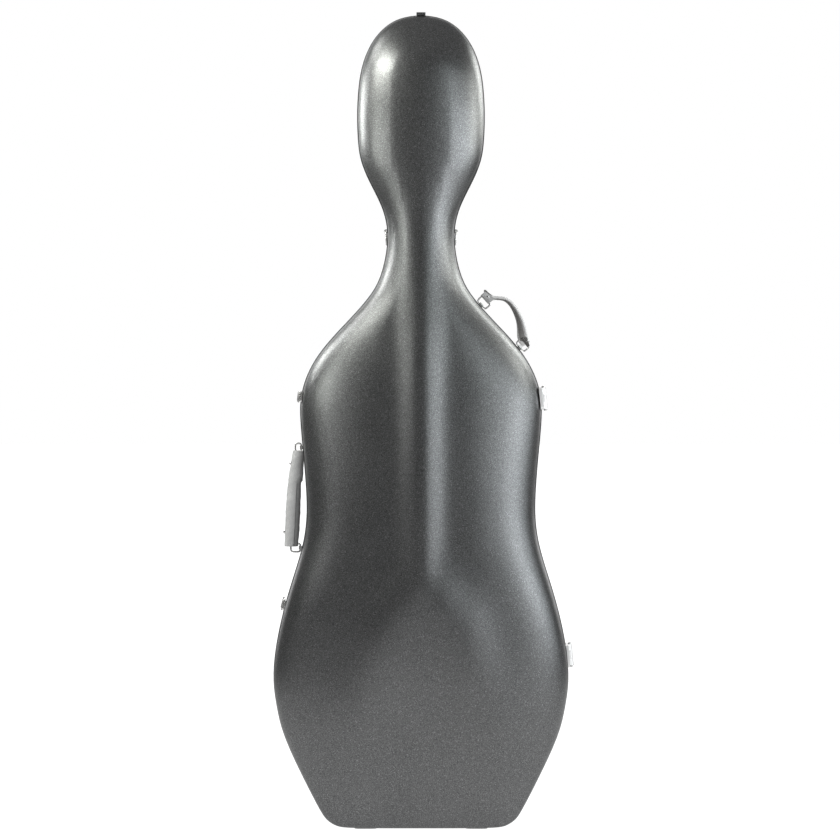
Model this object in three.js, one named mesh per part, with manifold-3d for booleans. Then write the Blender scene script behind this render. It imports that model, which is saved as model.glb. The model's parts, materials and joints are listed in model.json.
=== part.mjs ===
// Hard case for a full-size cello, standing upright on its base, lid towards -Y.
// Millimetres, +Z up. The seam between lid and back shell is one plane, square to Y.
import * as THREE from "three";
import { RoundedBoxGeometry } from "three/addons/geometries/RoundedBoxGeometry.js";
import { mergeVertices } from "three/addons/utils/BufferGeometryUtils.js";
import Module from "manifold-3d";

const wasm = await Module();
wasm.setup();

// Overall form: half widths and heights of the landmarks of the outline.
// The heights here are drawn ones: they add up to drawnHeight and keep their shares of caseHeight.
const caseHeight = 1331;
const footHeight = 3;
const baseHalfWidth = 120;
const baseCornerRadius = 50;
const taperAngle = THREE.MathUtils.degToRad(28);
const taperHeight = 112;
const lowerBout = { halfWidth: 243, height: 236 };
const waist = { halfWidth: 186, height: 528 };
const upperBout = { halfWidth: 198.5, height: 682 };
const neck = { halfWidth: 52, height: 955 };
const head = { halfWidth: 104, height: 1165 };
const crownRise = 166;
const drawnHeight = head.height + crownRise;

// Where the outline runs between two landmarks, as shares of the way up and of the way across
const sideShares = [[0.34, 0.246], [0.57, 0.58], [0.79, 0.912]];
const boutShares = [[0.68, 0.68]];
const shoulderShares = [
  [0.18, 0.061], [0.3, 0.167], [0.421, 0.345], [0.542, 0.563], [0.663, 0.768], [0.784, 0.918],
];
const cheekShares = [[0.19, 0.06], [0.343, 0.288], [0.5, 0.635], [0.657, 0.904], [0.81, 0.975]];
const crownShares = [[0.4, 0.045], [0.585, 0.12], [0.76, 0.26], [0.885, 0.445], [0.965, 0.66]];

// Shell depths from the seam plane to the crown
const lidDepth = 112;
const backDepth = 148;
const bridgeRise = 15;
const ridgeRise = 12;

// Shell wall and its edge
const wall = 3.2;
const skirtDepth = 9.5;
const baseFlatDepth = 62;
const clearance = 0.3;
const cutOverrun = 2;
const rim = { proud: 1.6, depth: 8, foot: 2.2, lap: 4.2, start: 1 };
const gasket = { thickness: 1.4, inset: 0.4, width: 3.4 };
const lining = { thickness: 5, gap: 1.15, rimGap: 0.6 };

// Fingerboard ridge of the lid, as half widths
const ridge = { crown: 9, shoulder: 25, foot: 42, start: 362, full: 412, fade: 770, end: 985 };

// Belly of the lid over the bridge: a broad rise whose upper edge is an arch
const bridge = {
  height: 380, archDrop: 92, archHalf: 95, spreadUp: 56, spreadDown: 190, sideStart: 84, sideEnd: 168,
};

// Hinges on the right edge, above the widest places; their pins share one axis outside the bouts
const hinge = {
  aboveUpper: 18, aboveLower: 42, standoff: 7, length: 36, barrel: 4.2, bore: 2.6, pin: 2.1,
  head: 3.4, headHeight: 2, headTipShare: 0.7, leafReach: 26, leafThickness: 2,
  corner: 5, knuckleGap: 0.4,
};

// Draw latches on the left edge, above the widest places
const latch = {
  aboveUpper: 21, aboveLower: 124, plateStart: 9.5, plateReach: 38, plateWidth: 22, plate: 2, corner: 3,
  pivotOut: 4.6, pivotBack: 12, pin: 0.95, bore: 1.3, barrel: 1.9, earIn: 5.2, earOut: 7,
  leverWidth: 14, leverIn: 6.9, lever: 1.5, leverReach: 38, paddleWidth: 18, paddleStart: 32,
  curl: 1.7, hookBack: 21, hookOut: 4.9, hookWire: 1.05, hookBore: 1.4, hookBarrel: 2, hookHalf: 8.6,
  hookFront: 13.6, hookCorner: 2.4, keeperReach: 24, keeperPost: 2, keeperHeight: 6.6, keeperWidth: 12,
  keeperPlateWidth: 18,
};

// Carrying handle on the back shell's left side, its ends at shares of the way to either bout
const grip = {
  aboveShare: 0.597, belowShare: 0.26, back: 24, standoff: 5, radius: 12,
  topOut: 9.5, bottomOut: 14, endGap: 5.8,
};
// Outline of half the grip from its end to its middle, as shares of its radius and half length
const gripShares = [[0.9, 1], [1, 0.975], [1, 0.5]];
const bail = { wire: 1.5, height: 14, topReach: 10, bottomReach: 16, corner: 3.5 };
const bracket = {
  width: 20, height: 22, handleHeight: 10, plate: 1.8, corner: 4, tube: 3, bore: 1.9, tubeLength: 8,
  handleTubeLength: 6,
};

// Strap handle on the right shoulder, on the back shell, between the upper bout and the neck
const strap = {
  highShare: 0.623, lowShare: 0.366, back: 22, standoff: 5, thickness: 6, width: 20, round: 1.4, rise: 41,
  loopRadius: 4.2, loopBore: 2.1, loopWidth: 11,
};
// Places along the strap between its ends, as shares of its rise and of half its span
const strapShares = [[0.76, 0.78], [0.97, 0.3], [1, -0.1], [0.8, -0.58]];
const strapRing = { wire: 1.5, height: 20, reach: 13, corner: 3.5 };

// Hanging rings for straps
const dRing = { wire: 1.5, width: 24, drop: 22, corner: 6, standoff: 4.6 };
const neckRing = { aboveNeck: 23, back: 24 };
const lowerRing = { belowBout: 86, across: 120 };

// Inside the back shell
const cushion = { thickness: 22, depth: 84, length: 120, round: 11, back: 76 };
const headCushion = { width: 92, thickness: 26, length: 110, round: 12, aboveHead: 25 };
const cradle = { halfWidth: 37, front: 21, belowNeck: 29, aboveNeck: 31, neckRadius: 20, neckBack: 19 };
const neckBand = { halfWidth: 35, rise: 22, thickness: 2.4, belowNeck: 11, aboveNeck: 13 };
const endpinBlock = { halfWidth: 46, front: 46, back: 94, height: 30, recess: 11, recessDepth: 15 };

// Bow holders inside the lid
const tipPocket = { across: 27, belowNeck: 53, length: 50, width: 28, deep: 22, wall: 3, slotWall: 4 };
const frogRest = {
  across: 72, belowBout: 58, width: 46, deep: 24, length: 62, groove: 6.5, grooveAcross: 8,
};
const toggle = { post: 2.4, bore: 2.9, radius: 6, length: 30, thickness: 5, head: 4.4, headHeight: 1.6 };

const topClip = { width: 15, thickness: 1.6, reach: 16, corner: 2 };
const foot = { width: 38, length: 26, corner: 5, across: 90, out: 40 };

// Colours from the photograph
function finish(color, roughness, metalness) {
  return new THREE.MeshStandardMaterial({ color, roughness, metalness, side: THREE.DoubleSide });
}

const shellGrey = finish(0x4b4d4e, 0.38, 0.6);
const rimBlack = finish(0x1c1d1e, 0.5, 0);
const rubberBlack = finish(0x121212, 0.8, 0);
const chrome = finish(0xc9cbcd, 0.15, 1);
const leatherGrey = finish(0xb4b6b6, 0.6, 0);
const plushCharcoal = finish(0x2b2c30, 0.95, 0);
const cushionGrey = finish(0x3a3b40, 0.9, 0);
const woodBlack = finish(0x181514, 0.45, 0);

// Geometry and solids

const mergeWithin = 1e-3;

function solidOf(geometry) {
  const bare = new THREE.BufferGeometry();
  const source = geometry.index ? geometry.toNonIndexed() : geometry;
  bare.setAttribute("position", source.getAttribute("position"));
  const merged = mergeVertices(bare, mergeWithin);
  const triVerts = [];
  const index = merged.index.array;
  for (let i = 0; i < index.length; i += 3) {
    const [a, b, c] = index.slice(i, i + 3);
    if (a !== b && b !== c && c !== a) triVerts.push(a, b, c);
  }
  const vertProperties = merged.attributes.position.array;
  const mesh = { numProp: 3, vertProperties, triVerts: new Uint32Array(triVerts) };
  const solid = new wasm.Manifold(new wasm.Mesh(mesh));
  if (solid.volume() > 0) return solid;
  mesh.triVerts.reverse();
  return new wasm.Manifold(new wasm.Mesh(mesh));
}

function geometryOf(solid) {
  const { vertProperties, numProp, numVert, triVerts } = solid.getMesh();
  const geometry = new THREE.BufferGeometry();
  const positions = new Float32Array(numVert * 3);
  for (let i = 0; i < numVert; i++) {
    positions.set(vertProperties.subarray(i * numProp, i * numProp + 3), i * 3);
  }
  geometry.setAttribute("position", new THREE.BufferAttribute(positions, 3));
  geometry.setIndex(new THREE.BufferAttribute(new Uint32Array(triVerts), 1));
  const flat = geometry.toNonIndexed();
  flat.computeVertexNormals();
  return flat;
}

function fuse(...geometries) {
  return geometryOf(geometries.map(solidOf).reduce((a, b) => a.add(b)));
}

function cut(geometry, ...tools) {
  return geometryOf(tools.map(solidOf).reduce((a, b) => a.subtract(b), solidOf(geometry)));
}

function meshOf(name, geometry, material) {
  const mesh = new THREE.Mesh(geometry, material);
  mesh.name = name;
  return mesh;
}

function moved(geometry, x, y, z) {
  return geometry.clone().translate(x, y, z);
}

// A closed body from rows of points: each row runs once round the case.
// Rows that end in one point, or on the middle line, close when equal points merge.
// Facets split the same way on both faces of a wall, and as mirror images left and right.
function bodyOfRows(rows, closedProfile, innerRows = 0) {
  const across = rows[0].length;
  const triangles = [];
  const lastRow = closedProfile ? rows.length : rows.length - 1;
  for (let j = 0; j < lastRow; j++) {
    const lower = rows[j];
    const upper = rows[(j + 1) % rows.length];
    for (let i = 0; i < across; i++) {
      const k = (i + 1) % across;
      const turned = j < innerRows !== i >= across / 2;
      if (turned) triangles.push(lower[i], lower[k], upper[i], lower[k], upper[k], upper[i]);
      else triangles.push(lower[i], lower[k], upper[k], lower[i], upper[k], upper[i]);
    }
  }
  return geometryOf(solidOf(new THREE.BufferGeometry().setFromPoints(triangles)));
}

// Each vertex's outward direction, long enough that every edge moves out by one unit
function outwardOf(loop) {
  return loop.map((point, i) => {
    const before = loop[(i + loop.length - 1) % loop.length];
    const after = loop[(i + 1) % loop.length];
    const first = point.clone().sub(before).normalize();
    const second = after.clone().sub(point).normalize();
    const normalA = new THREE.Vector2(first.y, -first.x);
    const normalB = new THREE.Vector2(second.y, -second.x);
    const middle = normalA.clone().add(normalB).normalize();
    return middle.divideScalar(middle.dot(normalA));
  });
}

// A profile of [outward, depth] points swept round a closed loop in the XZ plane
function sweptRound(loop, profile) {
  const outward = outwardOf(loop);
  const rows = profile.map(([out, depth]) =>
    loop.map((p, i) => new THREE.Vector3(p.x + outward[i].x * out, depth, p.y + outward[i].y * out)),
  );
  return bodyOfRows(rows, true);
}

// Outline of the case at the seam

function up(height) {
  return (height * caseHeight) / drawnHeight;
}

function at(landmark) {
  return new THREE.Vector2(landmark.halfWidth, up(landmark.height));
}

function between(low, high, shares, steps) {
  return shares.map(([heightShare, widthShare]) => {
    const halfWidth = low.halfWidth + (high.halfWidth - low.halfWidth) * widthShare;
    return [at({ halfWidth, height: low.height + (high.height - low.height) * heightShare }), steps];
  });
}

// The right side from the end of the base corner up to the crown.
// Each stretch from a point to the next is drawn in the given number of steps.
function sideStretches() {
  const crown = { halfWidth: 0, height: drawnHeight };
  const cornerEnd = new THREE.Vector2(
    baseHalfWidth + baseCornerRadius * Math.cos(taperAngle),
    footHeight + baseCornerRadius * (1 - Math.sin(taperAngle)),
  );
  const taperTop = new THREE.Vector2(
    cornerEnd.x + up(taperHeight) * Math.tan(taperAngle),
    cornerEnd.y + up(taperHeight),
  );
  return [
    [taperTop, 2],
    [at(lowerBout), 2],
    ...between(lowerBout, waist, sideShares, 2),
    [at(waist), 2],
    ...between(waist, upperBout, boutShares, 1),
    [at(upperBout), 2],
    ...between(upperBout, neck, shoulderShares, 1),
    [at(neck), 1],
    ...between(neck, head, cheekShares, 1),
    [at(head), 2],
    ...between(head, crown, crownShares, 1),
    [at(crown), 0],
  ];
}

// The seam outline, from the middle of the base up the right side and down the left
function outlineLoop() {
  const stretches = sideStretches();
  const points = stretches.map(([point]) => point);
  const mirrored = (p) => new THREE.Vector2(-p.x, p.y);
  const whole = [...points, ...points.slice(0, -1).reverse().map(mirrored)];
  const curve = new THREE.CatmullRomCurve3(
    whole.map((p) => new THREE.Vector3(p.x, 0, p.y)),
    false,
    "centripetal",
  );
  const right = [new THREE.Vector2(baseHalfWidth, footHeight)];
  const cornerSteps = 3;
  for (let i = 1; i <= cornerSteps; i++) {
    const turn = (i / cornerSteps) * (Math.PI / 2 - taperAngle);
    right.push(
      new THREE.Vector2(
        baseHalfWidth + baseCornerRadius * Math.sin(turn),
        footHeight + baseCornerRadius * (1 - Math.cos(turn)),
      ),
    );
  }
  stretches.forEach(([, steps], i) => {
    for (let k = 0; k < steps; k++) {
      const p = curve.getPoint((i + k / steps) / (whole.length - 1));
      right.push(new THREE.Vector2(p.x, p.z));
    }
  });
  const left = right.map(mirrored).reverse();
  return [
    new THREE.Vector2(0, footHeight),
    ...right,
    new THREE.Vector2(0, caseHeight),
    ...left,
  ];
}

const seamLoop = outlineLoop();
const seamOutward = outwardOf(seamLoop);

// Form of a half shell over the seam plane

function smoothCurve(stations) {
  const positions = new Float32Array(stations.map(([z]) => z));
  const values = new Float32Array(stations.map(([, value]) => value));
  const spline = new THREE.CubicInterpolant(positions, values, 1, new Float32Array(1));
  return (z) => spline.evaluate(z)[0];
}

const depthHeights = [
  footHeight,
  lowerBout.height / 2,
  lowerBout.height,
  (lowerBout.height + waist.height) / 2,
  waist.height,
  upperBout.height,
  (upperBout.height * 2 + neck.height) / 3,
  (upperBout.height + neck.height * 2) / 3,
  neck.height,
  (neck.height + head.height) / 2,
  head.height,
  (head.height + drawnHeight) / 2,
  drawnHeight,
].map(up);
const lidDepthShares = [0.8, 0.92, 0.99, 1, 0.94, 0.82, 0.72, 0.6, 0.53, 0.58, 0.66, 0.64, 0.52];
const backDepthShares = [0.8, 0.93, 1, 1, 0.96, 0.88, 0.76, 0.62, 0.52, 0.52, 0.55, 0.54, 0.46];
const fullnessShares = [5, 4.8, 4.6, 3.7, 2.9, 2.35, 2.2, 2.1, 2, 2, 2, 2, 2.05];

const lidDepthAt = smoothCurve(depthHeights.map((z, i) => [z, lidDepthShares[i] * lidDepth]));
const backDepthAt = smoothCurve(depthHeights.map((z, i) => [z, backDepthShares[i] * backDepth]));
const fullnessAt = smoothCurve(depthHeights.map((z, i) => [z, fullnessShares[i]]));

function lidRelief(x, height) {
  const z = (height * drawnHeight) / caseHeight;
  const arch = bridge.height - bridge.archDrop * (x / bridge.archHalf) ** 2;
  const along = (z - arch) / (z > arch ? bridge.spreadUp : bridge.spreadDown);
  const flank = 1 - THREE.MathUtils.smoothstep(Math.abs(x), bridge.sideStart, bridge.sideEnd);
  const belly = bridgeRise * Math.exp(-along * along) * flank;
  const rise = THREE.MathUtils.smoothstep(z, ridge.start, ridge.full);
  const fall = 1 - THREE.MathUtils.smoothstep(z, ridge.fade, ridge.end);
  const side = 1 - THREE.MathUtils.smoothstep(Math.abs(x), ridge.crown, ridge.foot);
  return Math.cbrt(belly ** 3 + (ridgeRise * rise * fall * side) ** 3);
}

const lidHalf = { side: -1, depthAt: lidDepthAt, relief: lidRelief };
const backHalf = { side: 1, depthAt: backDepthAt, relief: () => 0 };

// Rows lie at these shares of the way from the middle line out to the edge
const fineShares = [1, 0.995, 0.975, 0.93, 0.85, 0.72, 0.52];
const plainShares = [1, 0.975, 0.85, 0.5];
const coarseShares = [1, 0.9, 0.5];
const widestRidgeShares = [0.4, 0.28, 0.12];
const spineLowShare = 0.74;
const spineLow = up(lowerBout.height) * spineLowShare;
const spineHigh = caseHeight - head.halfWidth;

// Rows of one half's surface, drawn in by the inset, from the seam to the middle line
function surfaceRows(half, inset, shares, start, keepRelief) {
  const edge = seamLoop.map((p, i) => p.clone().addScaledVector(seamOutward[i], -inset));
  const pointAt = (i, share) => {
    const spine = new THREE.Vector2(0, THREE.MathUtils.clamp(seamLoop[i].y, spineLow, spineHigh));
    const p = spine.clone().lerp(edge[i], share);
    const power = fullnessAt(spine.y);
    const low = 1 - THREE.MathUtils.smoothstep(seamLoop[i].y, 0, spineLow);
    const skirt = skirtDepth + (baseFlatDepth - skirtDepth) * low;
    const crown = half.depthAt(p.y) - inset;
    const rise = (1 - share ** power) ** (1 / power);
    const relief = keepRelief ? half.relief(p.x, p.y) : 0;
    const depth = share === 1 ? skirt : skirt + (crown - skirt) * rise + relief * rise;
    return new THREE.Vector3(p.x, half.side * depth, p.y);
  };
  const ridgeSharesAt = (i) => {
    const spineHeight = THREE.MathUtils.clamp(seamLoop[i].y, spineLow, spineHigh);
    const reach = edge[i].distanceTo(new THREE.Vector2(0, spineHeight));
    const ridgeShares = [ridge.foot, ridge.shoulder, ridge.crown].map((half, k) =>
      Math.min(half / reach, widestRidgeShares[k]),
    );
    return [(shares[shares.length - 1] + ridgeShares[0]) / 2, ...ridgeShares];
  };
  const rows = [edge.map((p) => new THREE.Vector3(p.x, half.side * start, p.y))];
  shares.forEach((share) => rows.push(edge.map((p, i) => pointAt(i, share))));
  if (keepRelief) {
    [0, 1, 2, 3].forEach((k) => rows.push(edge.map((p, i) => pointAt(i, ridgeSharesAt(i)[k]))));
  }
  rows.push(edge.map((p, i) => pointAt(i, 0)));
  return rows;
}

const shellStart = rim.start + rim.foot + clearance;

function shellGeometry(half) {
  const outer = surfaceRows(half, 0, fineShares, shellStart, half === lidHalf);
  const inner = surfaceRows(half, wall, plainShares, shellStart, half === lidHalf);
  return bodyOfRows([...inner.reverse(), ...outer], false, inner.length);
}

function liningGeometry(half) {
  const start = shellStart + lining.rimGap;
  const outer = surfaceRows(half, wall + lining.gap, plainShares, start, false);
  const inner = surfaceRows(half, wall + lining.gap + lining.thickness, coarseShares, start, false);
  return bodyOfRows([...inner.reverse(), ...outer], false, inner.length);
}

function rimGeometry(half) {
  const inside = -wall - rim.lap;
  const profile = [
    [inside, rim.start],
    [rim.proud, rim.start],
    [rim.proud, rim.depth],
    [clearance, rim.depth],
    [clearance, rim.start + rim.foot],
    [inside, rim.start + rim.foot],
  ];
  return sweptRound(seamLoop, profile.map(([out, depth]) => [out, half.side * depth]));
}

function gasketGeometry() {
  const outer = -gasket.inset;
  const inner = outer - gasket.width;
  const half = gasket.thickness / 2;
  return sweptRound(seamLoop, [
    [inner, -half],
    [outer, -half],
    [outer, half],
    [inner, half],
  ]);
}

const backBody = new THREE.Group();
const lidBody = new THREE.Group();

backBody.add(meshOf("back_shell", shellGeometry(backHalf), shellGrey));
lidBody.add(meshOf("lid_shell", shellGeometry(lidHalf), shellGrey));
backBody.add(meshOf("back_rim", rimGeometry(backHalf), rimBlack));
lidBody.add(meshOf("lid_rim", rimGeometry(lidHalf), rimBlack));
backBody.add(meshOf("gasket", gasketGeometry(), rubberBlack));
backBody.add(meshOf("back_lining", liningGeometry(backHalf), plushCharcoal));
lidBody.add(meshOf("lid_lining", liningGeometry(lidHalf), plushCharcoal));

// The whole case, rims and all, as one block to cut fittings to its surface
function caseBlock(gap) {
  const rowsOf = (half) => {
    const rows = surfaceRows(half, -gap, fineShares, rim.depth + gap, half === lidHalf);
    const ledge = seamLoop.map((p, i) => {
      const out = p.clone().addScaledVector(seamOutward[i], rim.proud + gap);
      return new THREE.Vector3(out.x, half.side * (rim.depth + gap), out.y);
    });
    return [ledge, ...rows];
  };
  return bodyOfRows([...rowsOf(lidHalf).reverse(), ...rowsOf(backHalf)], false);
}

const caseForm = solidOf(caseBlock(clearance));

// Shapes for fittings: X points away from the case, Z runs along its edge

const alongX = new THREE.Matrix4().makeBasis(
  new THREE.Vector3(0, 1, 0),
  new THREE.Vector3(0, 0, 1),
  new THREE.Vector3(1, 0, 0),
);
const alongY = new THREE.Matrix4().makeBasis(
  new THREE.Vector3(0, 0, 1),
  new THREE.Vector3(1, 0, 0),
  new THREE.Vector3(0, 1, 0),
);

function roundedOutline(width, height, corner, steps) {
  const points = [];
  [[1, -1], [1, 1], [-1, 1], [-1, -1]].forEach(([sx, sy], quarter) => {
    for (let i = 0; i <= steps; i++) {
      const turn = ((quarter - 1 + i / steps) * Math.PI) / 2;
      points.push(
        new THREE.Vector2(
          sx * (width / 2 - corner) + corner * Math.cos(turn),
          sy * (height / 2 - corner) + corner * Math.sin(turn),
        ),
      );
    }
  });
  return points;
}

function extruded(points, depth) {
  return new THREE.ExtrudeGeometry(new THREE.Shape(points), { depth, bevelEnabled: false, steps: 1 });
}

// A rounded plate across Y and Z, from one X to another
function plateOf(width, height, corner, fromX, toX) {
  const geometry = extruded(roundedOutline(width, height, corner, 2), toX - fromX);
  return geometry.applyMatrix4(alongX).translate(fromX, 0, 0);
}

function block(fromX, toX, fromY, toY, fromZ, toZ) {
  const geometry = new THREE.BoxGeometry(toX - fromX, toY - fromY, toZ - fromZ);
  return geometry.translate((fromX + toX) / 2, (fromY + toY) / 2, (fromZ + toZ) / 2);
}

function rod(radius, fromZ, toZ, sides = 10) {
  const geometry = new THREE.CylinderGeometry(radius, radius, toZ - fromZ, sides);
  return geometry.rotateX(Math.PI / 2).translate(0, 0, (fromZ + toZ) / 2);
}

// A closed wire loop in the XZ plane
function wireLoop(width, height, corner, wire) {
  const profile = [];
  const sides = 6;
  for (let i = 0; i < sides; i++) {
    const turn = (i / sides) * 2 * Math.PI;
    profile.push([wire * Math.cos(turn), wire * Math.sin(turn)]);
  }
  return sweptRound(roundedOutline(width, height, corner, 2), profile);
}

// Where the seam outline stands at a drawn height, and which way it faces
function edgeAt(side, height) {
  const i = seamLoop.findIndex((p, k) => k > 0 && p.y >= up(height));
  const low = seamLoop[i - 1];
  const high = seamLoop[i];
  const point = low.clone().lerp(high, (up(height) - low.y) / (high.y - low.y));
  const along = high.clone().sub(low).normalize();
  return {
    point: new THREE.Vector3(side * point.x, 0, point.y),
    out: new THREE.Vector3(side * along.y, 0, -along.x),
  };
}

function frameOf(origin, out, up) {
  const frame = new THREE.Group();
  const across = up.clone().cross(out).normalize();
  frame.setRotationFromMatrix(new THREE.Matrix4().makeBasis(out, across, up));
  frame.position.copy(origin);
  frame.updateMatrix();
  return frame;
}

// A frame on the edge: X out, Z up along the edge, Y towards the lid on the left side
function edgeFrame(side, height) {
  const { point, out } = edgeAt(side, height);
  const up = out.clone().cross(new THREE.Vector3(0, side, 0)).normalize();
  return frameOf(point, out, up);
}

// A frame whose Z axis runs between two places that stand off the edge
function axisFrame(side, top, bottom, standoff, back) {
  const ends = [top, bottom].map((height) => {
    const { point, out } = edgeAt(side, height);
    return point.addScaledVector(out, standoff).setY(back);
  });
  const up = ends[0].clone().sub(ends[1]).normalize();
  const out = new THREE.Vector3(0, side, 0).cross(up).normalize();
  const frame = frameOf(ends[0].clone().add(ends[1]).divideScalar(2), out, up);
  frame.userData.span = ends[0].distanceTo(ends[1]);
  return frame;
}

// Cuts a piece that sits in a frame back to the surface of the case
function fitted(geometry, frame) {
  const placed = solidOf(geometry.clone().applyMatrix4(frame.matrix));
  const bodies = placed.subtract(caseForm).decompose();
  const largest = bodies.reduce((a, b) => (a.volume() > b.volume() ? a : b));
  return geometryOf(largest).applyMatrix4(frame.matrix.clone().invert());
}

function inBoth(frame) {
  const twin = frame.clone();
  backBody.add(frame);
  lidBody.add(twin);
  return { back: frame, lid: twin };
}

// Hinges

function hingeLeaf(frame, side, knuckles) {
  const wallX = -hinge.standoff;
  const outerX = wallX + rim.proud + hinge.leafThickness;
  const half = hinge.length / 2;
  const reach = hinge.leafReach + hinge.barrel;
  const plate = plateOf(reach, hinge.length, hinge.corner, wallX - cutOverrun, outerX);
  plate.translate(0, side * (reach / 2 + clearance), 0);
  const all = [[-half, -half / 3], [-half / 3, half / 3], [half / 3, half]];
  const mine = all.filter((span, i) => knuckles.includes(i));
  const others = all.filter((span, i) => !knuckles.includes(i));
  const webs = mine.flatMap(([low, high]) => {
    const bottom = low + hinge.knuckleGap / 2;
    const top = high - hinge.knuckleGap / 2;
    const [near, far] = [clearance * side, hinge.barrel * side].sort((a, b) => a - b);
    return [rod(hinge.barrel, bottom, top), block(wallX, 0, near, far, bottom, top)];
  });
  const room = others.map(([low, high]) => {
    const bottom = low - hinge.knuckleGap / 2;
    return rod(hinge.barrel + hinge.knuckleGap, bottom, high + hinge.knuckleGap / 2);
  });
  const leaf = fuse(cut(plate, ...room), ...webs);
  return fitted(cut(leaf, rod(hinge.bore, -hinge.length, hinge.length)), frame);
}

function hingePin() {
  const half = hinge.length / 2 + clearance;
  const profile = [
    [0, -half - hinge.headHeight],
    [hinge.head * hinge.headTipShare, -half - hinge.headHeight],
    [hinge.head, -half],
    [hinge.pin, -half],
    [hinge.pin, half],
    [hinge.head, half],
    [hinge.head * hinge.headTipShare, half + hinge.headHeight],
    [0, half + hinge.headHeight],
  ].map(([x, y]) => new THREE.Vector2(x, y));
  return new THREE.LatheGeometry(profile, 10).rotateX(Math.PI / 2);
}

const hingeAxis = axisFrame(
  1, upperBout.height + hinge.aboveUpper, lowerBout.height + hinge.aboveLower, hinge.standoff, 0,
);

[["upper", 1], ["lower", -1]].forEach(([name, end]) => {
  const frame = hingeAxis.clone();
  frame.translateZ((end * hingeAxis.userData.span) / 2);
  frame.updateMatrix();
  const { back, lid } = inBoth(frame);
  back.add(meshOf(name + "_hinge_back_leaf", hingeLeaf(frame, 1, [0, 2]), chrome));
  back.add(meshOf(name + "_hinge_pin", hingePin(), chrome));
  lid.add(meshOf(name + "_hinge_lid_leaf", hingeLeaf(frame, -1, [1]), chrome));
});

// Latches

function latchBase(frame) {
  const length = latch.plateReach - latch.plateStart;
  const plate = plateOf(length, latch.plateWidth, latch.corner, -cutOverrun, latch.plate);
  plate.translate(0, -latch.plateStart - length / 2, 0);
  const near = -latch.pivotBack + latch.barrel;
  const far = -latch.pivotBack - latch.barrel;
  const ears = [[-latch.earOut, -latch.earIn], [latch.earIn, latch.earOut]].map(([low, high]) => {
    const round = moved(rod(latch.barrel, low, high), latch.pivotOut, -latch.pivotBack, 0);
    return fuse(round, block(0, latch.pivotOut, far, near, low, high));
  });
  const pin = rod(latch.pin, -latch.earOut, latch.earOut, 8);
  return fitted(fuse(plate, ...ears, moved(pin, latch.pivotOut, -latch.pivotBack, 0)), frame);
}

function latchLever() {
  const half = latch.leverWidth / 2;
  const wide = latch.paddleWidth / 2;
  const inEars = latch.earIn - clearance;
  const outer = latch.leverIn + latch.lever;
  const plate = block(latch.leverIn, outer, -latch.leverReach, -latch.pivotBack, -half, half);
  const paddle = block(latch.leverIn, outer, -latch.leverReach, -latch.paddleStart, -wide, wide);
  const curl = moved(rod(latch.curl, -wide, wide, 8), outer - latch.curl / 2, -latch.leverReach, 0);
  const barrel = moved(rod(latch.barrel, -inEars, inEars, 8), latch.pivotOut, -latch.pivotBack, 0);
  const web = block(
    latch.pivotOut, latch.leverIn + clearance,
    -latch.pivotBack - latch.barrel / 2, -latch.pivotBack + latch.barrel / 2,
    -inEars, inEars,
  );
  const hookEnd = latch.hookHalf - latch.hookCorner - clearance;
  const lug = moved(rod(latch.hookBarrel, -hookEnd, hookEnd, 8), latch.hookOut, -latch.hookBack, 0);
  const lugWeb = block(
    latch.hookOut, latch.leverIn + clearance,
    -latch.hookBack - latch.hookBarrel / 2, -latch.hookBack + latch.hookBarrel / 2,
    -hookEnd, hookEnd,
  );
  const bores = [
    moved(rod(latch.bore, -half, half, 8), latch.pivotOut, -latch.pivotBack, 0),
    moved(rod(latch.hookBore, -half, half, 8), latch.hookOut, -latch.hookBack, 0),
  ];
  return cut(fuse(plate, paddle, curl, barrel, web, lug, lugWeb), ...bores);
}

function latchHook() {
  const length = latch.hookBack + latch.hookFront;
  const loop = wireLoop(length, latch.hookHalf * 2, latch.hookCorner, latch.hookWire);
  loop.rotateZ(Math.PI / 2);
  return loop.translate(latch.hookOut, (latch.hookFront - latch.hookBack) / 2, 0);
}

function latchKeeper(frame) {
  const length = latch.keeperReach - latch.plateStart;
  const plate = plateOf(length, latch.keeperPlateWidth, latch.corner, -cutOverrun, latch.plate);
  plate.translate(0, latch.plateStart + length / 2, 0);
  const face = latch.hookFront - latch.hookWire - clearance;
  const half = latch.keeperWidth / 2;
  const post = block(0, latch.keeperHeight, face - latch.keeperPost, face, -half, half);
  return fitted(fuse(plate, post), frame);
}

[
  ["upper", upperBout.height + latch.aboveUpper],
  ["lower", lowerBout.height + latch.aboveLower],
].forEach(([name, height]) => {
  const { back, lid } = inBoth(edgeFrame(-1, height));
  back.add(meshOf(name + "_latch_base", latchBase(back), chrome));
  back.add(meshOf(name + "_latch_lever", latchLever(), chrome));
  back.add(meshOf(name + "_latch_hook", latchHook(), chrome));
  lid.add(meshOf(name + "_latch_keeper", latchKeeper(lid), chrome));
});

// Brackets with a tube along Z, and the pieces that swing in them

function bracketGeometry(frame, z, standoff, height, tubeLength) {
  const plate = plateOf(
    bracket.width, height, bracket.corner,
    -standoff - bracket.tube * 2, -standoff + bracket.plate,
  );
  const half = tubeLength / 2;
  const tube = rod(bracket.tube, -half, half);
  const web = block(-standoff, 0, -bracket.tube, bracket.tube, -half, half);
  const whole = cut(fuse(plate, tube, web), rod(bracket.bore, -bracket.height, bracket.height));
  return fitted(moved(whole, 0, 0, z), frame);
}

const handleFrame = axisFrame(
  -1,
  THREE.MathUtils.lerp(waist.height, upperBout.height, grip.aboveShare),
  THREE.MathUtils.lerp(waist.height, lowerBout.height, grip.belowShare),
  grip.standoff, grip.back,
);

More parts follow.
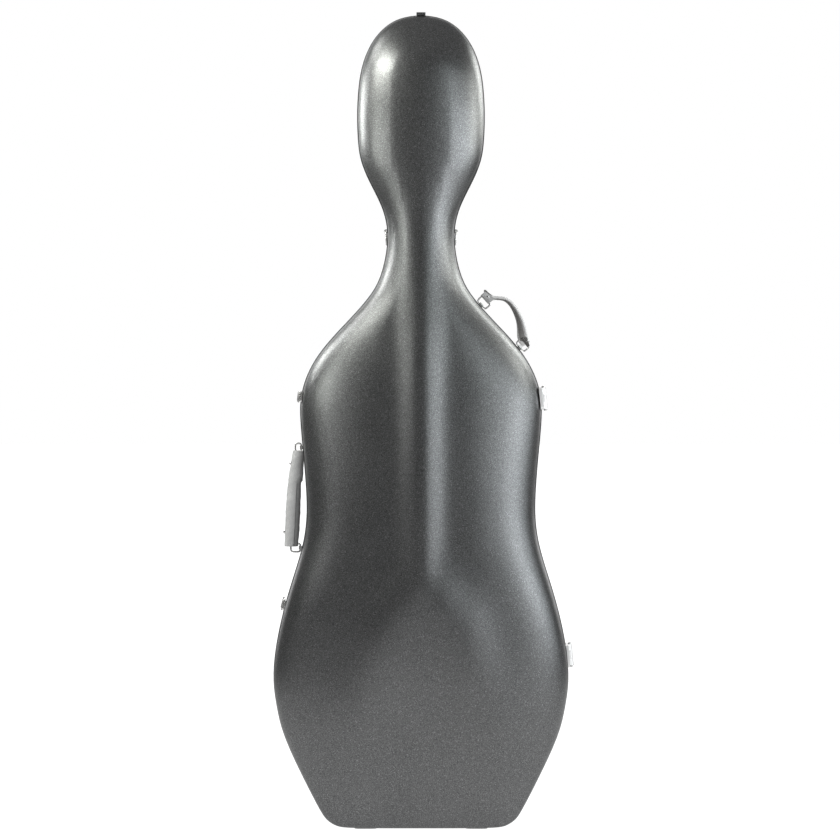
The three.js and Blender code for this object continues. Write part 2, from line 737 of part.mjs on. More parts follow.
function gripGeometry() {
  const half = handleFrame.userData.span / 2;
  const top = half - grip.endGap;
  const profile = [
    ...gripShares.map(([r, z]) => new THREE.Vector2(r * grip.radius, -z * top)),
    ...gripShares.map(([r, z]) => new THREE.Vector2(r * grip.radius, z * top)).reverse(),
  ];
  const body = new THREE.LatheGeometry(
    [new THREE.Vector2(0, -top), ...profile, new THREE.Vector2(0, top)],
    16,
  ).rotateX(Math.PI / 2);
  const lean = Math.atan((grip.bottomOut - grip.topOut) / (2 * top));
  body.rotateY(-lean).translate((grip.topOut + grip.bottomOut) / 2, 0, 0);
  // Each end is slotted for the inner half of its bail
  const room = bail.wire + clearance;
  const slots = [[1, bail.topReach], [-1, bail.bottomReach]].map(([end, reach]) => {
    const inner = end * (half - bail.height / 2 - room);
    const [low, high] = [inner, end * half].sort((a, b) => a - b);
    return block(-grip.radius, reach + room, -room, room, low, high);
  });
  return cut(body, ...slots);
}

[["top", 1, bail.topReach], ["bottom", -1, bail.bottomReach]].forEach(([name, end, reach]) => {
  const z = (end * handleFrame.userData.span) / 2;
  const bracketPiece = bracketGeometry(
    handleFrame, z, grip.standoff, bracket.handleHeight, bracket.handleTubeLength,
  );
  const loop = moved(wireLoop(reach, bail.height, bail.corner, bail.wire), reach / 2, 0, z);
  handleFrame.add(meshOf("side_handle_" + name + "_bracket", bracketPiece, chrome));
  handleFrame.add(meshOf("side_handle_" + name + "_bail", loop, chrome));
});
handleFrame.add(meshOf("side_handle_grip", gripGeometry(), leatherGrey));
backBody.add(handleFrame);

const strapFrame = axisFrame(
  1,
  THREE.MathUtils.lerp(upperBout.height, neck.height, strap.highShare),
  THREE.MathUtils.lerp(upperBout.height, neck.height, strap.lowShare),
  strap.standoff, strap.back,
);

function strapGeometry() {
  const half = strapFrame.userData.span / 2;
  const low = strapRing.reach;
  const middle = strapShares.map(([rise, along]) => [strap.rise * rise, half * along]);
  const ways = [[low, half], ...middle, [low, -half]];
  const curve = new THREE.CatmullRomCurve3(ways.map(([x, z]) => new THREE.Vector3(x, 0, z)));
  const steps = 11;
  const outer = [];
  const inner = [];
  for (let i = 0; i <= steps; i++) {
    const p = curve.getPoint(i / steps);
    const t = curve.getTangent(i / steps);
    const normal = new THREE.Vector2(-t.z, t.x).multiplyScalar(strap.thickness / 2 - strap.round);
    outer.push(new THREE.Vector2(p.x, p.z).add(normal));
    inner.push(new THREE.Vector2(p.x, p.z).sub(normal));
  }
  // The band is drawn with Z across the sheet and X up it, and extruded along Y
  const outline = [...outer, ...inner.reverse()].map((p) => new THREE.Vector2(p.y, p.x));
  const depth = strap.width - 2 * strap.round;
  const band = new THREE.ExtrudeGeometry(new THREE.Shape(outline), {
    depth,
    bevelThickness: strap.round,
    bevelSize: strap.round,
    bevelSegments: 1,
    steps: 1,
  });
  band.translate(0, 0, -depth / 2).applyMatrix4(alongY);
  const loops = [half, -half].map((z) => {
    const reach = strap.loopWidth / 2;
    return moved(rod(strap.loopRadius, -reach, reach), low, 0, z);
  });
  const bores = [half, -half].map((z) =>
    moved(rod(strap.loopBore, -strap.width, strap.width), low, 0, z),
  );
  return cut(fuse(band, ...loops), ...bores);
}

[["top", 1], ["bottom", -1]].forEach(([name, end]) => {
  const z = (end * strapFrame.userData.span) / 2;
  const ring = wireLoop(strapRing.reach, strapRing.height, strapRing.corner, strapRing.wire);
  const bracketPiece = bracketGeometry(
    strapFrame, z, strap.standoff, bracket.height, bracket.tubeLength,
  );
  strapFrame.add(meshOf("shoulder_strap_" + name + "_bracket", bracketPiece, chrome));
  strapFrame.add(
    meshOf("shoulder_strap_" + name + "_ring", ring.translate(strapRing.reach / 2, 0, z), chrome),
  );
});
strapFrame.add(meshOf("shoulder_strap", strapGeometry(), leatherGrey));
backBody.add(strapFrame);

// Where a straight line along Y, from the seam or from outside, meets a piece
function reachOf(mesh, x, z, fromY, towards) {
  const ray = new THREE.Raycaster(new THREE.Vector3(x, fromY, z), new THREE.Vector3(0, towards, 0));
  return ray.intersectObject(mesh, false)[0].point.y;
}

function pieceNamed(name) {
  return backBody.getObjectByName(name) || lidBody.getObjectByName(name);
}

// Rings that hang from a clip on the shell

function hangingRing(name, frame) {
  const half = dRing.width / 2 - dRing.wire * 3;
  const plate = plateOf(half * 2, bracket.height, bracket.corner, -dRing.standoff, bracket.plate);
  const tube = rod(bracket.tube, -half / 2, half / 2).rotateX(Math.PI / 2);
  const web = block(0, dRing.standoff, -half / 2, half / 2, -bracket.tube, bracket.tube);
  const bore = rod(bracket.bore, -dRing.width, dRing.width).rotateX(Math.PI / 2);
  const clip = cut(
    fuse(plate, web, moved(tube, dRing.standoff, 0, 0)),
    moved(bore, dRing.standoff, 0, 0),
  );
  const loop = wireLoop(dRing.width, dRing.drop, dRing.corner, dRing.wire);
  loop.rotateZ(Math.PI / 2).translate(dRing.standoff, 0, -dRing.drop / 2);
  frame.add(meshOf(name + "_clip", fitted(clip, frame), chrome));
  frame.add(meshOf(name + "_ring", loop, chrome));
  backBody.add(frame);
}

[["left", -1], ["right", 1]].forEach(([name, side]) => {
  const neckFrame = edgeFrame(side, neck.height + neckRing.aboveNeck);
  neckFrame.position.y = neckRing.back;
  neckFrame.updateMatrix();
  hangingRing(name + "_neck", neckFrame);
  const x = side * lowerRing.across;
  const z = up(lowerBout.height - lowerRing.belowBout);
  const y = reachOf(pieceNamed("back_shell"), x, z, 2 * backDepth, -1);
  const backwards = new THREE.Vector3(0, 1, 0);
  const upwards = new THREE.Vector3(0, 0, 1);
  hangingRing(name + "_lower", frameOf(new THREE.Vector3(x, y, z), backwards, upwards));
});

// Clips over the joint of each rim, at the top of the head

function rimClip(half) {
  const top = caseHeight + rim.proud;
  const clip = block(
    -topClip.width / 2, topClip.width / 2,
    rim.start, topClip.reach,
    caseHeight - topClip.reach, top + topClip.thickness + clearance,
  );
  if (half === lidHalf) clip.scale(1, -1, 1);
  return geometryOf(solidOf(clip).subtract(caseForm));
}

backBody.add(meshOf("back_rim_clip", rimClip(backHalf), chrome));
lidBody.add(meshOf("lid_rim_clip", rimClip(lidHalf), chrome));

// Feet under the flat of the base

[["right", 1], ["left", -1]].forEach(([name, side]) => {
  [["back", backBody, 1], ["lid", lidBody, -1]].forEach(([halfName, body, depthSide]) => {
    const outline = roundedOutline(foot.width, foot.length, foot.corner, 2);
    const pad = extruded(outline, footHeight - clearance);
    pad.translate(side * foot.across, depthSide * foot.out, 0);
    body.add(meshOf(halfName + "_" + name + "_foot", pad, rubberBlack));
  });
});

// The room inside the lining of one half

function cavityOf(half, gap) {
  const inset = wall + lining.gap + lining.thickness + gap;
  const rows = surfaceRows(half, inset, coarseShares, shellStart, false);
  const spine = rows[rows.length - 1].map((p) => new THREE.Vector3(0, half.side * shellStart, p.z));
  return solidOf(bodyOfRows([spine, ...rows], false));
}

const backRoom = cavityOf(backHalf, clearance);
const lidRoom = cavityOf(lidHalf, clearance);

function within(room, geometry) {
  const bodies = room.intersect(solidOf(geometry)).decompose();
  return geometryOf(bodies.reduce((a, b) => (a.volume() > b.volume() ? a : b)));
}

// Cushions

function pillow(width, depth, height, round) {
  return new RoundedBoxGeometry(width, depth, height, 2, round);
}

[["lower", lowerBout], ["upper", upperBout]].forEach(([name, bout]) => {
  [["right", 1], ["left", -1]].forEach(([sideName, side]) => {
    const pad = pillow(2 * cushion.thickness, cushion.depth, cushion.length, cushion.round);
    const x = side * (bout.halfWidth - wall - lining.gap - lining.thickness);
    const piece = within(backRoom, moved(pad, x, cushion.back, up(bout.height)));
    backBody.add(meshOf(name + "_" + sideName + "_cushion", piece, cushionGrey));
  });
});

const headPadHeight = up(head.height + headCushion.aboveHead);
const headWall = reachOf(pieceNamed("back_lining"), 0, headPadHeight, 0, 1);
const headPad = pillow(headCushion.width, headCushion.thickness * 2, headCushion.length, headCushion.round);
backBody.add(
  meshOf("head_cushion", within(backRoom, moved(headPad, 0, headWall, headPadHeight)), cushionGrey),
);

// Neck cradle with its band

const cradleBlock = block(
  -cradle.halfWidth, cradle.halfWidth, cradle.front, backDepth,
  up(neck.height) - cradle.belowNeck, up(neck.height) + cradle.aboveNeck,
);
const neckWay = moved(rod(cradle.neckRadius, 0, caseHeight, 16), 0, cradle.neckBack, 0);
backBody.add(meshOf("neck_cradle", within(backRoom, cut(cradleBlock, neckWay)), cushionGrey));

function neckBandGeometry() {
  const shape = new THREE.Shape();
  const { halfWidth, rise, thickness } = neckBand;
  shape.moveTo(halfWidth, 0);
  shape.quadraticCurveTo(halfWidth / 2, -rise * 2, -halfWidth, 0);
  shape.lineTo(-halfWidth + thickness * 2, 0);
  shape.quadraticCurveTo(halfWidth / 2, -rise * 2 + thickness * 3, halfWidth - thickness * 2, 0);
  const depth = neckBand.belowNeck + neckBand.aboveNeck;
  const options = { depth, bevelEnabled: false, steps: 1, curveSegments: 8 };
  const low = up(neck.height) - neckBand.belowNeck;
  return new THREE.ExtrudeGeometry(shape, options).translate(0, cradle.front - clearance, low);
}

backBody.add(meshOf("neck_band", neckBandGeometry(), leatherGrey));

// Endpin block, standing on the lining of the base

const endpinWay = moved(
  rod(endpinBlock.recess, endpinBlock.height - endpinBlock.recessDepth, caseHeight, 12),
  0, (endpinBlock.front + endpinBlock.back) / 2, footHeight + wall + lining.gap + lining.thickness,
);
const endpinStock = block(
  -endpinBlock.halfWidth, endpinBlock.halfWidth, endpinBlock.front, endpinBlock.back,
  0, footHeight + wall + lining.gap + lining.thickness + endpinBlock.height,
);
backBody.add(meshOf("endpin_block", within(backRoom, cut(endpinStock, endpinWay)), woodBlack));

// Bow holders

function tipPocketGeometry(side) {
  const x = side * tipPocket.across;
  const { width, deep } = tipPocket;
  const high = up(neck.height) - tipPocket.belowNeck;
  const low = high - tipPocket.length;
  const face = reachOf(pieceNamed("lid_lining"), x, (low + high) / 2, 0, -1) + deep;
  const body = block(x - width / 2, x + width / 2, -lidDepth, face, low, high);
  const slot = block(
    x - width / 2 + tipPocket.wall, x + width / 2 - tipPocket.wall,
    face - deep + tipPocket.slotWall, face - tipPocket.wall,
    low - cutOverrun, high - tipPocket.wall,
  );
  return within(lidRoom, cut(body, slot));
}

function frogRestGeometry(side) {
  const x = side * frogRest.across;
  const { width, deep, length } = frogRest;
  const height = up(lowerBout.height - frogRest.belowBout);
  const face = reachOf(pieceNamed("lid_lining"), x, height, 0, -1) + deep;
  const body = block(
    x - width / 2, x + width / 2, -2 * lidDepth, face, height - length / 2, height + length / 2,
  );
  const groove = rod(frogRest.groove, height - length, height + length, 10);
  const postX = x + side * frogRest.grooveAcross;
  const turnY = (geometry) => geometry.rotateX(-Math.PI / 2);
  const top = clearance + toggle.thickness + clearance;
  const post = turnY(rod(toggle.post, -toggle.thickness, top + toggle.headHeight, 8));
  const cap = turnY(rod(toggle.head, top, top + toggle.headHeight, 8));
  const rest = within(lidRoom, cut(body, moved(groove, x - side * frogRest.grooveAcross, face, 0)));
  const whole = fuse(rest, moved(post, postX, face, height), moved(cap, postX, face, height));
  return { place: new THREE.Vector3(postX, face, height), rest: whole };
}

function toggleGeometry() {
  const shape = new THREE.Shape();
  const reach = toggle.length - toggle.radius;
  shape.absarc(0, 0, toggle.radius, Math.PI / 2, (Math.PI * 3) / 2, false);
  shape.lineTo(reach, -toggle.radius / 2);
  shape.lineTo(reach, toggle.radius / 2);
  const options = { depth: toggle.thickness, bevelEnabled: false, steps: 1, curveSegments: 6 };
  const bar = new THREE.ExtrudeGeometry(shape, options);
  return cut(bar, rod(toggle.bore, -toggle.thickness, toggle.thickness * 2, 10));
}

[["right", 1], ["left", -1]].forEach(([name, side]) => {
  lidBody.add(meshOf(name + "_tip_pocket", tipPocketGeometry(side), cushionGrey));
  const { place, rest } = frogRestGeometry(side);
  lidBody.add(meshOf(name + "_frog_rest", rest, cushionGrey));
  const bar = meshOf(name + "_bow_toggle", toggleGeometry(), woodBlack);
  const mount = new THREE.Group();
  mount.position.copy(place);
  mount.position.y += clearance + toggle.thickness;
  mount.rotation.x = Math.PI / 2;
  bar.rotation.z = side > 0 ? Math.PI : 0;
  mount.add(bar);
  lidBody.add(mount);
});

const cello = new THREE.Group();
cello.add(backBody, lidBody);
cello.position.y = (lidDepth + bridgeRise - backDepth) / 2;

export default cello;
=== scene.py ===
import json
import math
import bmesh
import bpy
from mathutils import Matrix, Vector


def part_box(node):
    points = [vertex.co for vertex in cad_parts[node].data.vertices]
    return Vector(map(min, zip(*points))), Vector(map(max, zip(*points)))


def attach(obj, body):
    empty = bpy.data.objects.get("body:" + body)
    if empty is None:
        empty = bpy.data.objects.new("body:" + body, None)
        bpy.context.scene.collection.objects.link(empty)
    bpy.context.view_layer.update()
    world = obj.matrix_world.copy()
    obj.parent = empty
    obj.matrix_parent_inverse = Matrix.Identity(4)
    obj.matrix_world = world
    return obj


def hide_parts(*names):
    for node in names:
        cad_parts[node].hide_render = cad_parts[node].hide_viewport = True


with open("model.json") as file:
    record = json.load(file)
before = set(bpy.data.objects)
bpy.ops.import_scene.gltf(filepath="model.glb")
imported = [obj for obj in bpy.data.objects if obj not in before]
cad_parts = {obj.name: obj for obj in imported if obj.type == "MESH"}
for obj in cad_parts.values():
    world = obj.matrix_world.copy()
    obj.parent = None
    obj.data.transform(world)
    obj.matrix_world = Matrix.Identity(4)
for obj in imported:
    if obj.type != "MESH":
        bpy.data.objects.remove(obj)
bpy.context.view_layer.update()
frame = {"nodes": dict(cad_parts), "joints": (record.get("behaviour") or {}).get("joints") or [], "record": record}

nodes = frame["nodes"]
joints = {joint["name"]: joint for joint in frame["joints"]}
bodyOfNode = {}
for bodyName, members in frame["record"]["behaviour"]["bodies"].items():
    for member in members:
        bodyOfNode[member] = bodyName
scene = bpy.context.scene
mm = 0.001
print("frame: %d nodes, %d joints" % (len(nodes), len(joints)))


# Camera, square on to the lid, at the height of the waist

cameraPlace = {"at": (-0.0016, -4.01, 0.665), "sensor": 36, "focal": 104}

cameraData = bpy.data.cameras.new("camera")
cameraData.sensor_width = cameraPlace["sensor"]
cameraData.lens = cameraPlace["focal"]
camera = bpy.data.objects.new("camera", cameraData)
camera.location = cameraPlace["at"]
camera.rotation_euler = (math.pi / 2, 0, 0)
scene.collection.objects.link(camera)
scene.camera = camera
scene.view_settings.view_transform = "Standard"


# Shader values: arithmetic on them adds the Math nodes

class Value:
    def __init__(self, finish, socket):
        self.finish = finish
        self.socket = socket

    def maths(self, operation, *values):
        return self.finish.add("ShaderNodeMath", {"operation": operation}, values)

    def __add__(self, other):
        return self.maths("ADD", self, other)

    def __radd__(self, other):
        return self.maths("ADD", other, self)

    def __sub__(self, other):
        return self.maths("SUBTRACT", self, other)

    def __rsub__(self, other):
        return self.maths("SUBTRACT", other, self)

    def __mul__(self, other):
        return self.maths("MULTIPLY", self, other)

    def __rmul__(self, other):
        return self.maths("MULTIPLY", other, self)

    def __truediv__(self, other):
        return self.maths("DIVIDE", self, other)

    def __rtruediv__(self, other):
        return self.maths("DIVIDE", other, self)


class Finish:
    # One node tree; every node comes from add(type, settings, sockets)
    def __init__(self, tree):
        self.tree = tree
        tree.nodes.clear()

    def add(self, kind, settings=None, sockets=None, output=0):
        node = self.tree.nodes.new(kind)
        for name, value in (settings or {}).items():
            if name == "stops":
                stops = node.color_ramp.elements
                while len(stops) < len(value):
                    stops.new(1)
                for stop, (place, colour) in zip(stops, value):
                    stop.position = place
                    stop.color = colour if hasattr(colour, "__len__") else (colour, colour, colour, 1)
            else:
                setattr(node, name, value)
        pairs = sockets.items() if isinstance(sockets, dict) else enumerate(sockets or [])
        for name, value in pairs:
            if isinstance(value, Value):
                self.tree.links.new(value.socket, node.inputs[name])
            else:
                node.inputs[name].default_value = value
        return Value(self, node.outputs[output]) if node.outputs else node

    def place(self):
        return self.add("ShaderNodeTexCoord", output="Object")

    def moved(self, vector, scale=(1, 1, 1), turn=(0, 0, 0), at=(0, 0, 0)):
        sockets = {"Vector": vector, "Location": at, "Rotation": turn, "Scale": scale}
        return self.add("ShaderNodeMapping", {}, sockets)

    def noise(self, vector, scale, detail=2.0, rough=0.5):
        sockets = {"Vector": vector, "Scale": scale, "Detail": detail, "Roughness": rough}
        return self.add("ShaderNodeTexNoise", {}, sockets, "Fac")

    def cells(self, vector, scale, feature="F1"):
        sockets = {"Vector": vector, "Scale": scale}
        return self.add("ShaderNodeTexVoronoi", {"feature": feature}, sockets, "Distance")

    def ramp(self, value, *stops):
        return self.add("ShaderNodeValToRGB", {"stops": stops}, {"Fac": value})

    def mixed(self, first, second, factor):
        return self.add("ShaderNodeMix", {"data_type": "RGBA"}, {0: factor, 6: first, 7: second}, 2)

    def bump(self, height, distance, strength=1.0):
        return self.add("ShaderNodeBump", {}, {"Height": height, "Distance": distance, "Strength": strength})

    def surface(self, sockets):
        shader = self.add("ShaderNodeBsdfPrincipled", {}, sockets)
        self.add("ShaderNodeOutputMaterial", {}, {"Surface": shader})


def newFinish(name):
    material = bpy.data.materials.new(name)
    material.use_nodes = True
    return material, Finish(material.node_tree)


def grey(level, warmth=0.0):
    return (level * (1 + warmth), level, level * (1 - warmth), 1)


# Graphite lacquer with a fine metallic fleck over a hammered grain, on the shells and the rim clips

shellLook = {
    "dark": grey(0.12, -0.012), "light": grey(0.25, -0.008), "fleck": grey(0.55, -0.005),
    "grainScale": 620, "fleckScale": 900, "grainDepth": 0.0004, "roughness": 0.37, "metal": 0.95,
}


def graphiteLacquer():
    look = shellLook
    material, f = newFinish("graphite_lacquer")
    here = f.place()
    grain = f.noise(here, look["grainScale"], 3.0, 0.6)
    speck = f.cells(here, look["fleckScale"])
    cloud = f.noise(here, 9, 3.0)
    tone = f.ramp(grain + (cloud - 0.5) * 0.12, (0.36, look["dark"]), (0.66, look["light"]))
    bright = f.ramp(f.noise(here, look["fleckScale"], 1.0), (0.6, 0.0), (0.72, 1.0))
    colour = f.mixed(tone, look["fleck"], bright * 0.75)
    rough = look["roughness"] + (grain - 0.5) * 0.25 + (cloud - 0.5) * 0.08
    normal = f.bump(grain + speck * 0.4, look["grainDepth"], 0.5)
    f.surface({"Base Color": colour, "Metallic": look["metal"], "Roughness": rough, "Normal": normal})
    return material


# Edge profile of both halves

rimLook = {"colour": grey(0.1), "worn": grey(0.2), "grainScale": 900, "roughness": 0.3, "metal": 0.7}


def satinBlack():
    look = rimLook
    material, f = newFinish("satin_black_profile")
    here = f.place()
    grain = f.noise(here, look["grainScale"], 2.0)
    scuff = f.ramp(f.noise(here, 60, 4.0, 0.7), (0.56, 0.0), (0.74, 1.0))
    colour = f.mixed(look["colour"], look["worn"], scuff * 0.6)
    normal = f.bump(grain, 0.0001, 0.35)
    rough = look["roughness"] + scuff * 0.2
    f.surface({"Base Color": colour, "Metallic": look["metal"], "Roughness": rough, "Normal": normal})
    return material


# Nickel, polished on the fittings and satin on the hinges

chromeLook = {"colour": grey(0.86, 0.012), "dull": grey(0.6), "roughness": 0.13, "metal": 0.86}
satinLook = {"colour": grey(0.94, 0.005), "dull": grey(0.84), "roughness": 0.34, "metal": 0.6}


def nickel(name, look):
    material, f = newFinish(name)
    here = f.place()
    smear = f.noise(here, 240, 4.0, 0.7)
    line = f.noise(f.moved(here, (300, 2600, 1400)), 1.0, 2.0)
    colour = f.mixed(look["colour"], look["dull"], smear * 0.5)
    rough = look["roughness"] + (smear - 0.5) * 0.16 + line * 0.05
    normal = f.bump(line, 0.00002, 0.3)
    f.surface({"Base Color": colour, "Metallic": look["metal"], "Roughness": rough, "Normal": normal})
    return material


# Rubber of the gasket and the feet

rubberLook = {"colour": grey(0.018), "bloom": grey(0.05)}


def softRubber():
    look = rubberLook
    material, f = newFinish("moulded_rubber")
    here = f.place()
    grain = f.noise(here, 1500, 2.0)
    bloom = f.ramp(f.noise(here, 45, 4.0, 0.7), (0.5, 0.0), (0.75, 1.0))
    colour = f.mixed(look["colour"], look["bloom"], bloom * 0.5)
    f.surface({"Base Color": colour, "Roughness": 0.62 + bloom * 0.2, "Normal": f.bump(grain, 0.0001, 0.5)})
    return material


# Plush of the linings and covers

plushLook = {"deep": grey(0.014, -0.05), "tip": grey(0.05, -0.06), "pileScale": 700}


def plushCloth():
    look = plushLook
    material, f = newFinish("charcoal_plush")
    here = f.place()
    pile = f.noise(here, look["pileScale"], 3.0, 0.7)
    lean = f.noise(here, 22, 3.0, 0.6)
    tone = f.ramp(pile * 0.6 + lean * 0.5, (0.38, look["deep"]), (0.72, look["tip"]))
    sockets = {"Base Color": tone, "Roughness": 0.95, "Sheen Weight": 0.5, "Sheen Roughness": 0.5}
    sockets["Normal"] = f.bump(pile + lean * 0.4, 0.0006, 0.7)
    f.surface(sockets)
    return material


# Leather, each kind by its name, colour, creases and worn patches

leatherLook = {"grainScale": 520, "roughness": 0.5}


def leather(name, colour, crease, worn):
    look = leatherLook
    material, f = newFinish(name)
    here = f.place()
    bent = f.noise(here, 300, 2.0)
    pebble = f.cells(here, look["grainScale"], "DISTANCE_TO_EDGE")
    groove = f.ramp(pebble, (0.0, 0.0), (0.16, 1.0))
    blotch = f.noise(here, 38, 4.0, 0.65)
    base = f.mixed(crease, colour, groove * 0.55 + blotch * 0.5)
    rubbed = f.ramp(blotch, (0.55, 0.0), (0.72, 1.0))
    tone = f.mixed(base, worn, rubbed * 0.45)
    rough = look["roughness"] + (1 - groove) * 0.18 + (bent - 0.5) * 0.15
    normal = f.bump(groove * 0.7 + bent * 0.6, 0.00018, 0.6)
    f.surface({"Base Color": tone, "Roughness": rough, "Normal": normal})
    return material


threadLook = {"colour": grey(0.42, -0.005), "dark": grey(0.24), "twistScale": 2600}


def waxedThread():
    look = threadLook
    material, f = newFinish("waxed_thread")
    here = f.place()
    twist = f.noise(f.moved(here, (1, 1, 1), (0.6, 0.4, 0)), look["twistScale"], 2.0)
    colour = f.mixed(look["colour"], look["dark"], twist)
    normal = f.bump(twist, 0.00008, 0.6)
    f.surface({"Base Color": colour, "Roughness": 0.6 + twist * 0.2, "Normal": normal})
    return material


woodLook = {
    "dark": (0.009, 0.007, 0.006, 1), "light": (0.032, 0.022, 0.016, 1), "grain": (38, 420, 420),
    "pores": (120, 1900, 1900), "roughness": 0.34, "coat": 0.25,
}


def stainedWood():
    look = woodLook
    material, f = newFinish("black_stained_wood")
    here = f.place()
    wander = f.noise(here, 30, 3.0)
    grain = f.noise(f.moved(here, look["grain"]), 1.0, 5.0, 0.65)
    pores = f.ramp(f.noise(f.moved(here, look["pores"]), 1.0, 2.0), (0.58, 0.0), (0.7, 1.0))
    tone = f.ramp(grain + (wander - 0.5) * 0.3, (0.4, look["dark"]), (0.68, look["light"]))
    colour = f.mixed(tone, look["dark"], pores * 0.7)
    normal = f.bump(grain * 0.5 - pores, 0.00012, 0.5)
    rough = look["roughness"] + grain * 0.18
    f.surface({"Base Color": colour, "Roughness": rough, "Coat Weight": look["coat"], "Normal": normal})
    return material


finishes = {
    "thread": waxedThread(), "wood": stainedWood(), "shell": graphiteLacquer(), "rim": satinBlack(),
    "fittings": nickel("polished_nickel", chromeLook), "rubber": softRubber(), "plush": plushCloth(),
    "leather": leather("grey_leather", grey(0.43), grey(0.29), grey(0.57)),
    "satin": nickel("satin_nickel", satinLook),
    "pale": leather("pale_grey_leather", grey(0.66, 0.005), grey(0.44, 0.01), grey(0.76)),
    # leather of the strap's inner face, darker as painted shade
    "inside": leather("inner_leather_painted_shade", grey(0.24, 0.03), grey(0.15, 0.03), grey(0.3, 0.02)),
    "strap": leather("dark_strap_leather", grey(0.1, 0.05), grey(0.06, 0.05), grey(0.17, 0.03)),
}
print("finishes:", ", ".join(finishes))


# Making pieces

def pieceOf(name, mesh, finish, body):
    piece = bpy.data.objects.new(name, mesh)
    scene.collection.objects.link(piece)
    mesh.materials.append(finishes[finish])
    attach(piece, body)
    return piece


def meshFrom(shape, name, smooth=True):
    mesh = bpy.data.meshes.new(name)
    shape.to_mesh(mesh)
    shape.free()
    for polygon in mesh.polygons:
        polygon.use_smooth = smooth
    return mesh


def loosened(nodeName):
    shape = bmesh.new()
    shape.from_mesh(nodes[nodeName].data)
    bmesh.ops.remove_doubles(shape, verts=shape.verts, dist=0.004 * mm)
    bmesh.ops.dissolve_degenerate(shape, edges=shape.edges, dist=0.002 * mm)
    return shape


def sharpEdges(shape, angle):
    return [e for e in shape.edges if len(e.link_faces) == 2 and e.calc_face_angle(0) > math.radians(angle)]


def subdivided(piece, levels=1):
    modifier = piece.modifiers.new("rounding", "SUBSURF")
    modifier.levels = levels
    modifier.render_levels = levels


def rounded(shape, edges, size):
    bmesh.ops.bevel(
        shape, geom=edges, offset=size * mm, affect="EDGES", segments=2, profile=0.5, material=-1,
        clamp_overlap=True,
    )


# A moulded CAD node with its triangles joined to quads, its edges rounded and its facets smoothed away
def moulded(nodeName, finish, sharp=50, edge=0.35):
    shape = loosened(nodeName)
    for e in shape.edges:
        e.smooth = True
    for e in sharpEdges(shape, sharp):
        e.smooth = False
    bmesh.ops.join_triangles(
        shape, faces=shape.faces, cmp_seam=False, cmp_sharp=True, cmp_uvs=False, cmp_vcols=False,
        cmp_materials=False, angle_face_threshold=math.radians(40), angle_shape_threshold=math.radians(60),
    )
    edges = [e for e in shape.edges if not e.smooth]
    if edge and edges:
        rounded(shape, edges, edge)
    body = bodyOfNode[nodeName]
    piece = pieceOf(nodeName + "_form", meshFrom(shape, nodeName), finish, body)
    subdivided(piece, 2)
    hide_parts(nodeName)
    return piece


for nodeName, finish, sharp in [
    ("lid_shell", "shell", 50), ("back_shell", "shell", 50), ("lid_rim", "rim", 40), ("back_rim", "rim", 40),
    ("gasket", "rubber", 40), ("lid_lining", "plush", 50), ("back_lining", "plush", 50),
]:
    moulded(nodeName, finish, sharp)

for nodeName in nodes:
    if nodeName.endswith("foot"):
        moulded(nodeName, "rubber", 45, 1.0)
    elif nodeName.endswith("rim_clip"):
        moulded(nodeName, "shell", 45, 0.5)
    elif nodeName.endswith("hinge_pin"):
        moulded(nodeName, "fittings", 45, 0.25)
print("shells, rims, linings, feet and pins")


# Frames on the edge of the case: millimetres, X outwards, Z along the edge, Y across it

def edgeFrame(origin, along, across):
    up = Vector(along).normalized()
    side = Vector(across)
    turn = Matrix((side.cross(up), side, up)).transposed().to_4x4()
    return Matrix.Translation(origin) @ turn @ Matrix.Diagonal((mm, mm, mm, 1))


def jointFrame(jointName, across, offset=(0, 0, 0), along=None):
    joint = joints[jointName]
    whole = edgeFrame(joint["pos_m"], along or joint["axis"], across)
    return whole @ Matrix.Translation(Vector(offset))


leftwards, rightwards, behind = (0, -1, 0), (0, 1, 0), (-1, 0, 0)
pivot = (-4.6, 12, 0)  # from a latch lever's axis to its place on the edge
ringStand = (-4.6, 0, 0)  # from a ring's axis to the shell
leftNeck, rightNeck, upright = (-0.07796, 0, 0.99696), (0.07796, 0, 0.99696), (0, 0, 1)
pinLow, pinHigh = (Vector(c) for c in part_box("lower_hinge_pin"))
places = {
    "upper_hinge": jointFrame("lid_hinge", rightwards),
    "lower_hinge": edgeFrame((pinLow + pinHigh) / 2, joints["lid_hinge"]["axis"], rightwards),
    "upper_latch": jointFrame("upper_latch_lever", leftwards, pivot),
    "lower_latch": jointFrame("lower_latch_lever", leftwards, pivot),
    "side_handle": jointFrame("side_handle_swing", leftwards),
    "shoulder_strap": jointFrame("shoulder_handle_swing", rightwards),
    "left_neck": jointFrame("left_neck_ring_swing", leftwards, ringStand, leftNeck),
    "right_neck": jointFrame("right_neck_ring_swing", rightwards, ringStand, rightNeck),
    "left_lower": jointFrame("left_lower_ring_swing", behind, ringStand, upright),
    "right_lower": jointFrame("right_lower_ring_swing", behind, ringStand, upright),
}


# Metal fittings: the CAD form with rounded edges, and the rivets that hold it

fittingLook = {
    "edge": 0.25, "leafEdge": 0.32, "leverEdge": 0.35, "rivetRise": 0.42, "rivetSides": 20,
    "sharp": {"fittings": 34, "wood": 40},  # degrees from which an edge is rounded
    "hookWire": 1.05, "ringWire": 1.5, "swell": 0.16, "earTop": 2.05, "earShare": 0.95,
    # Heights of the brackets along the edge, from the middle of their handle
    "handleEnd": 83.037, "strapEnd": 47.621,
}
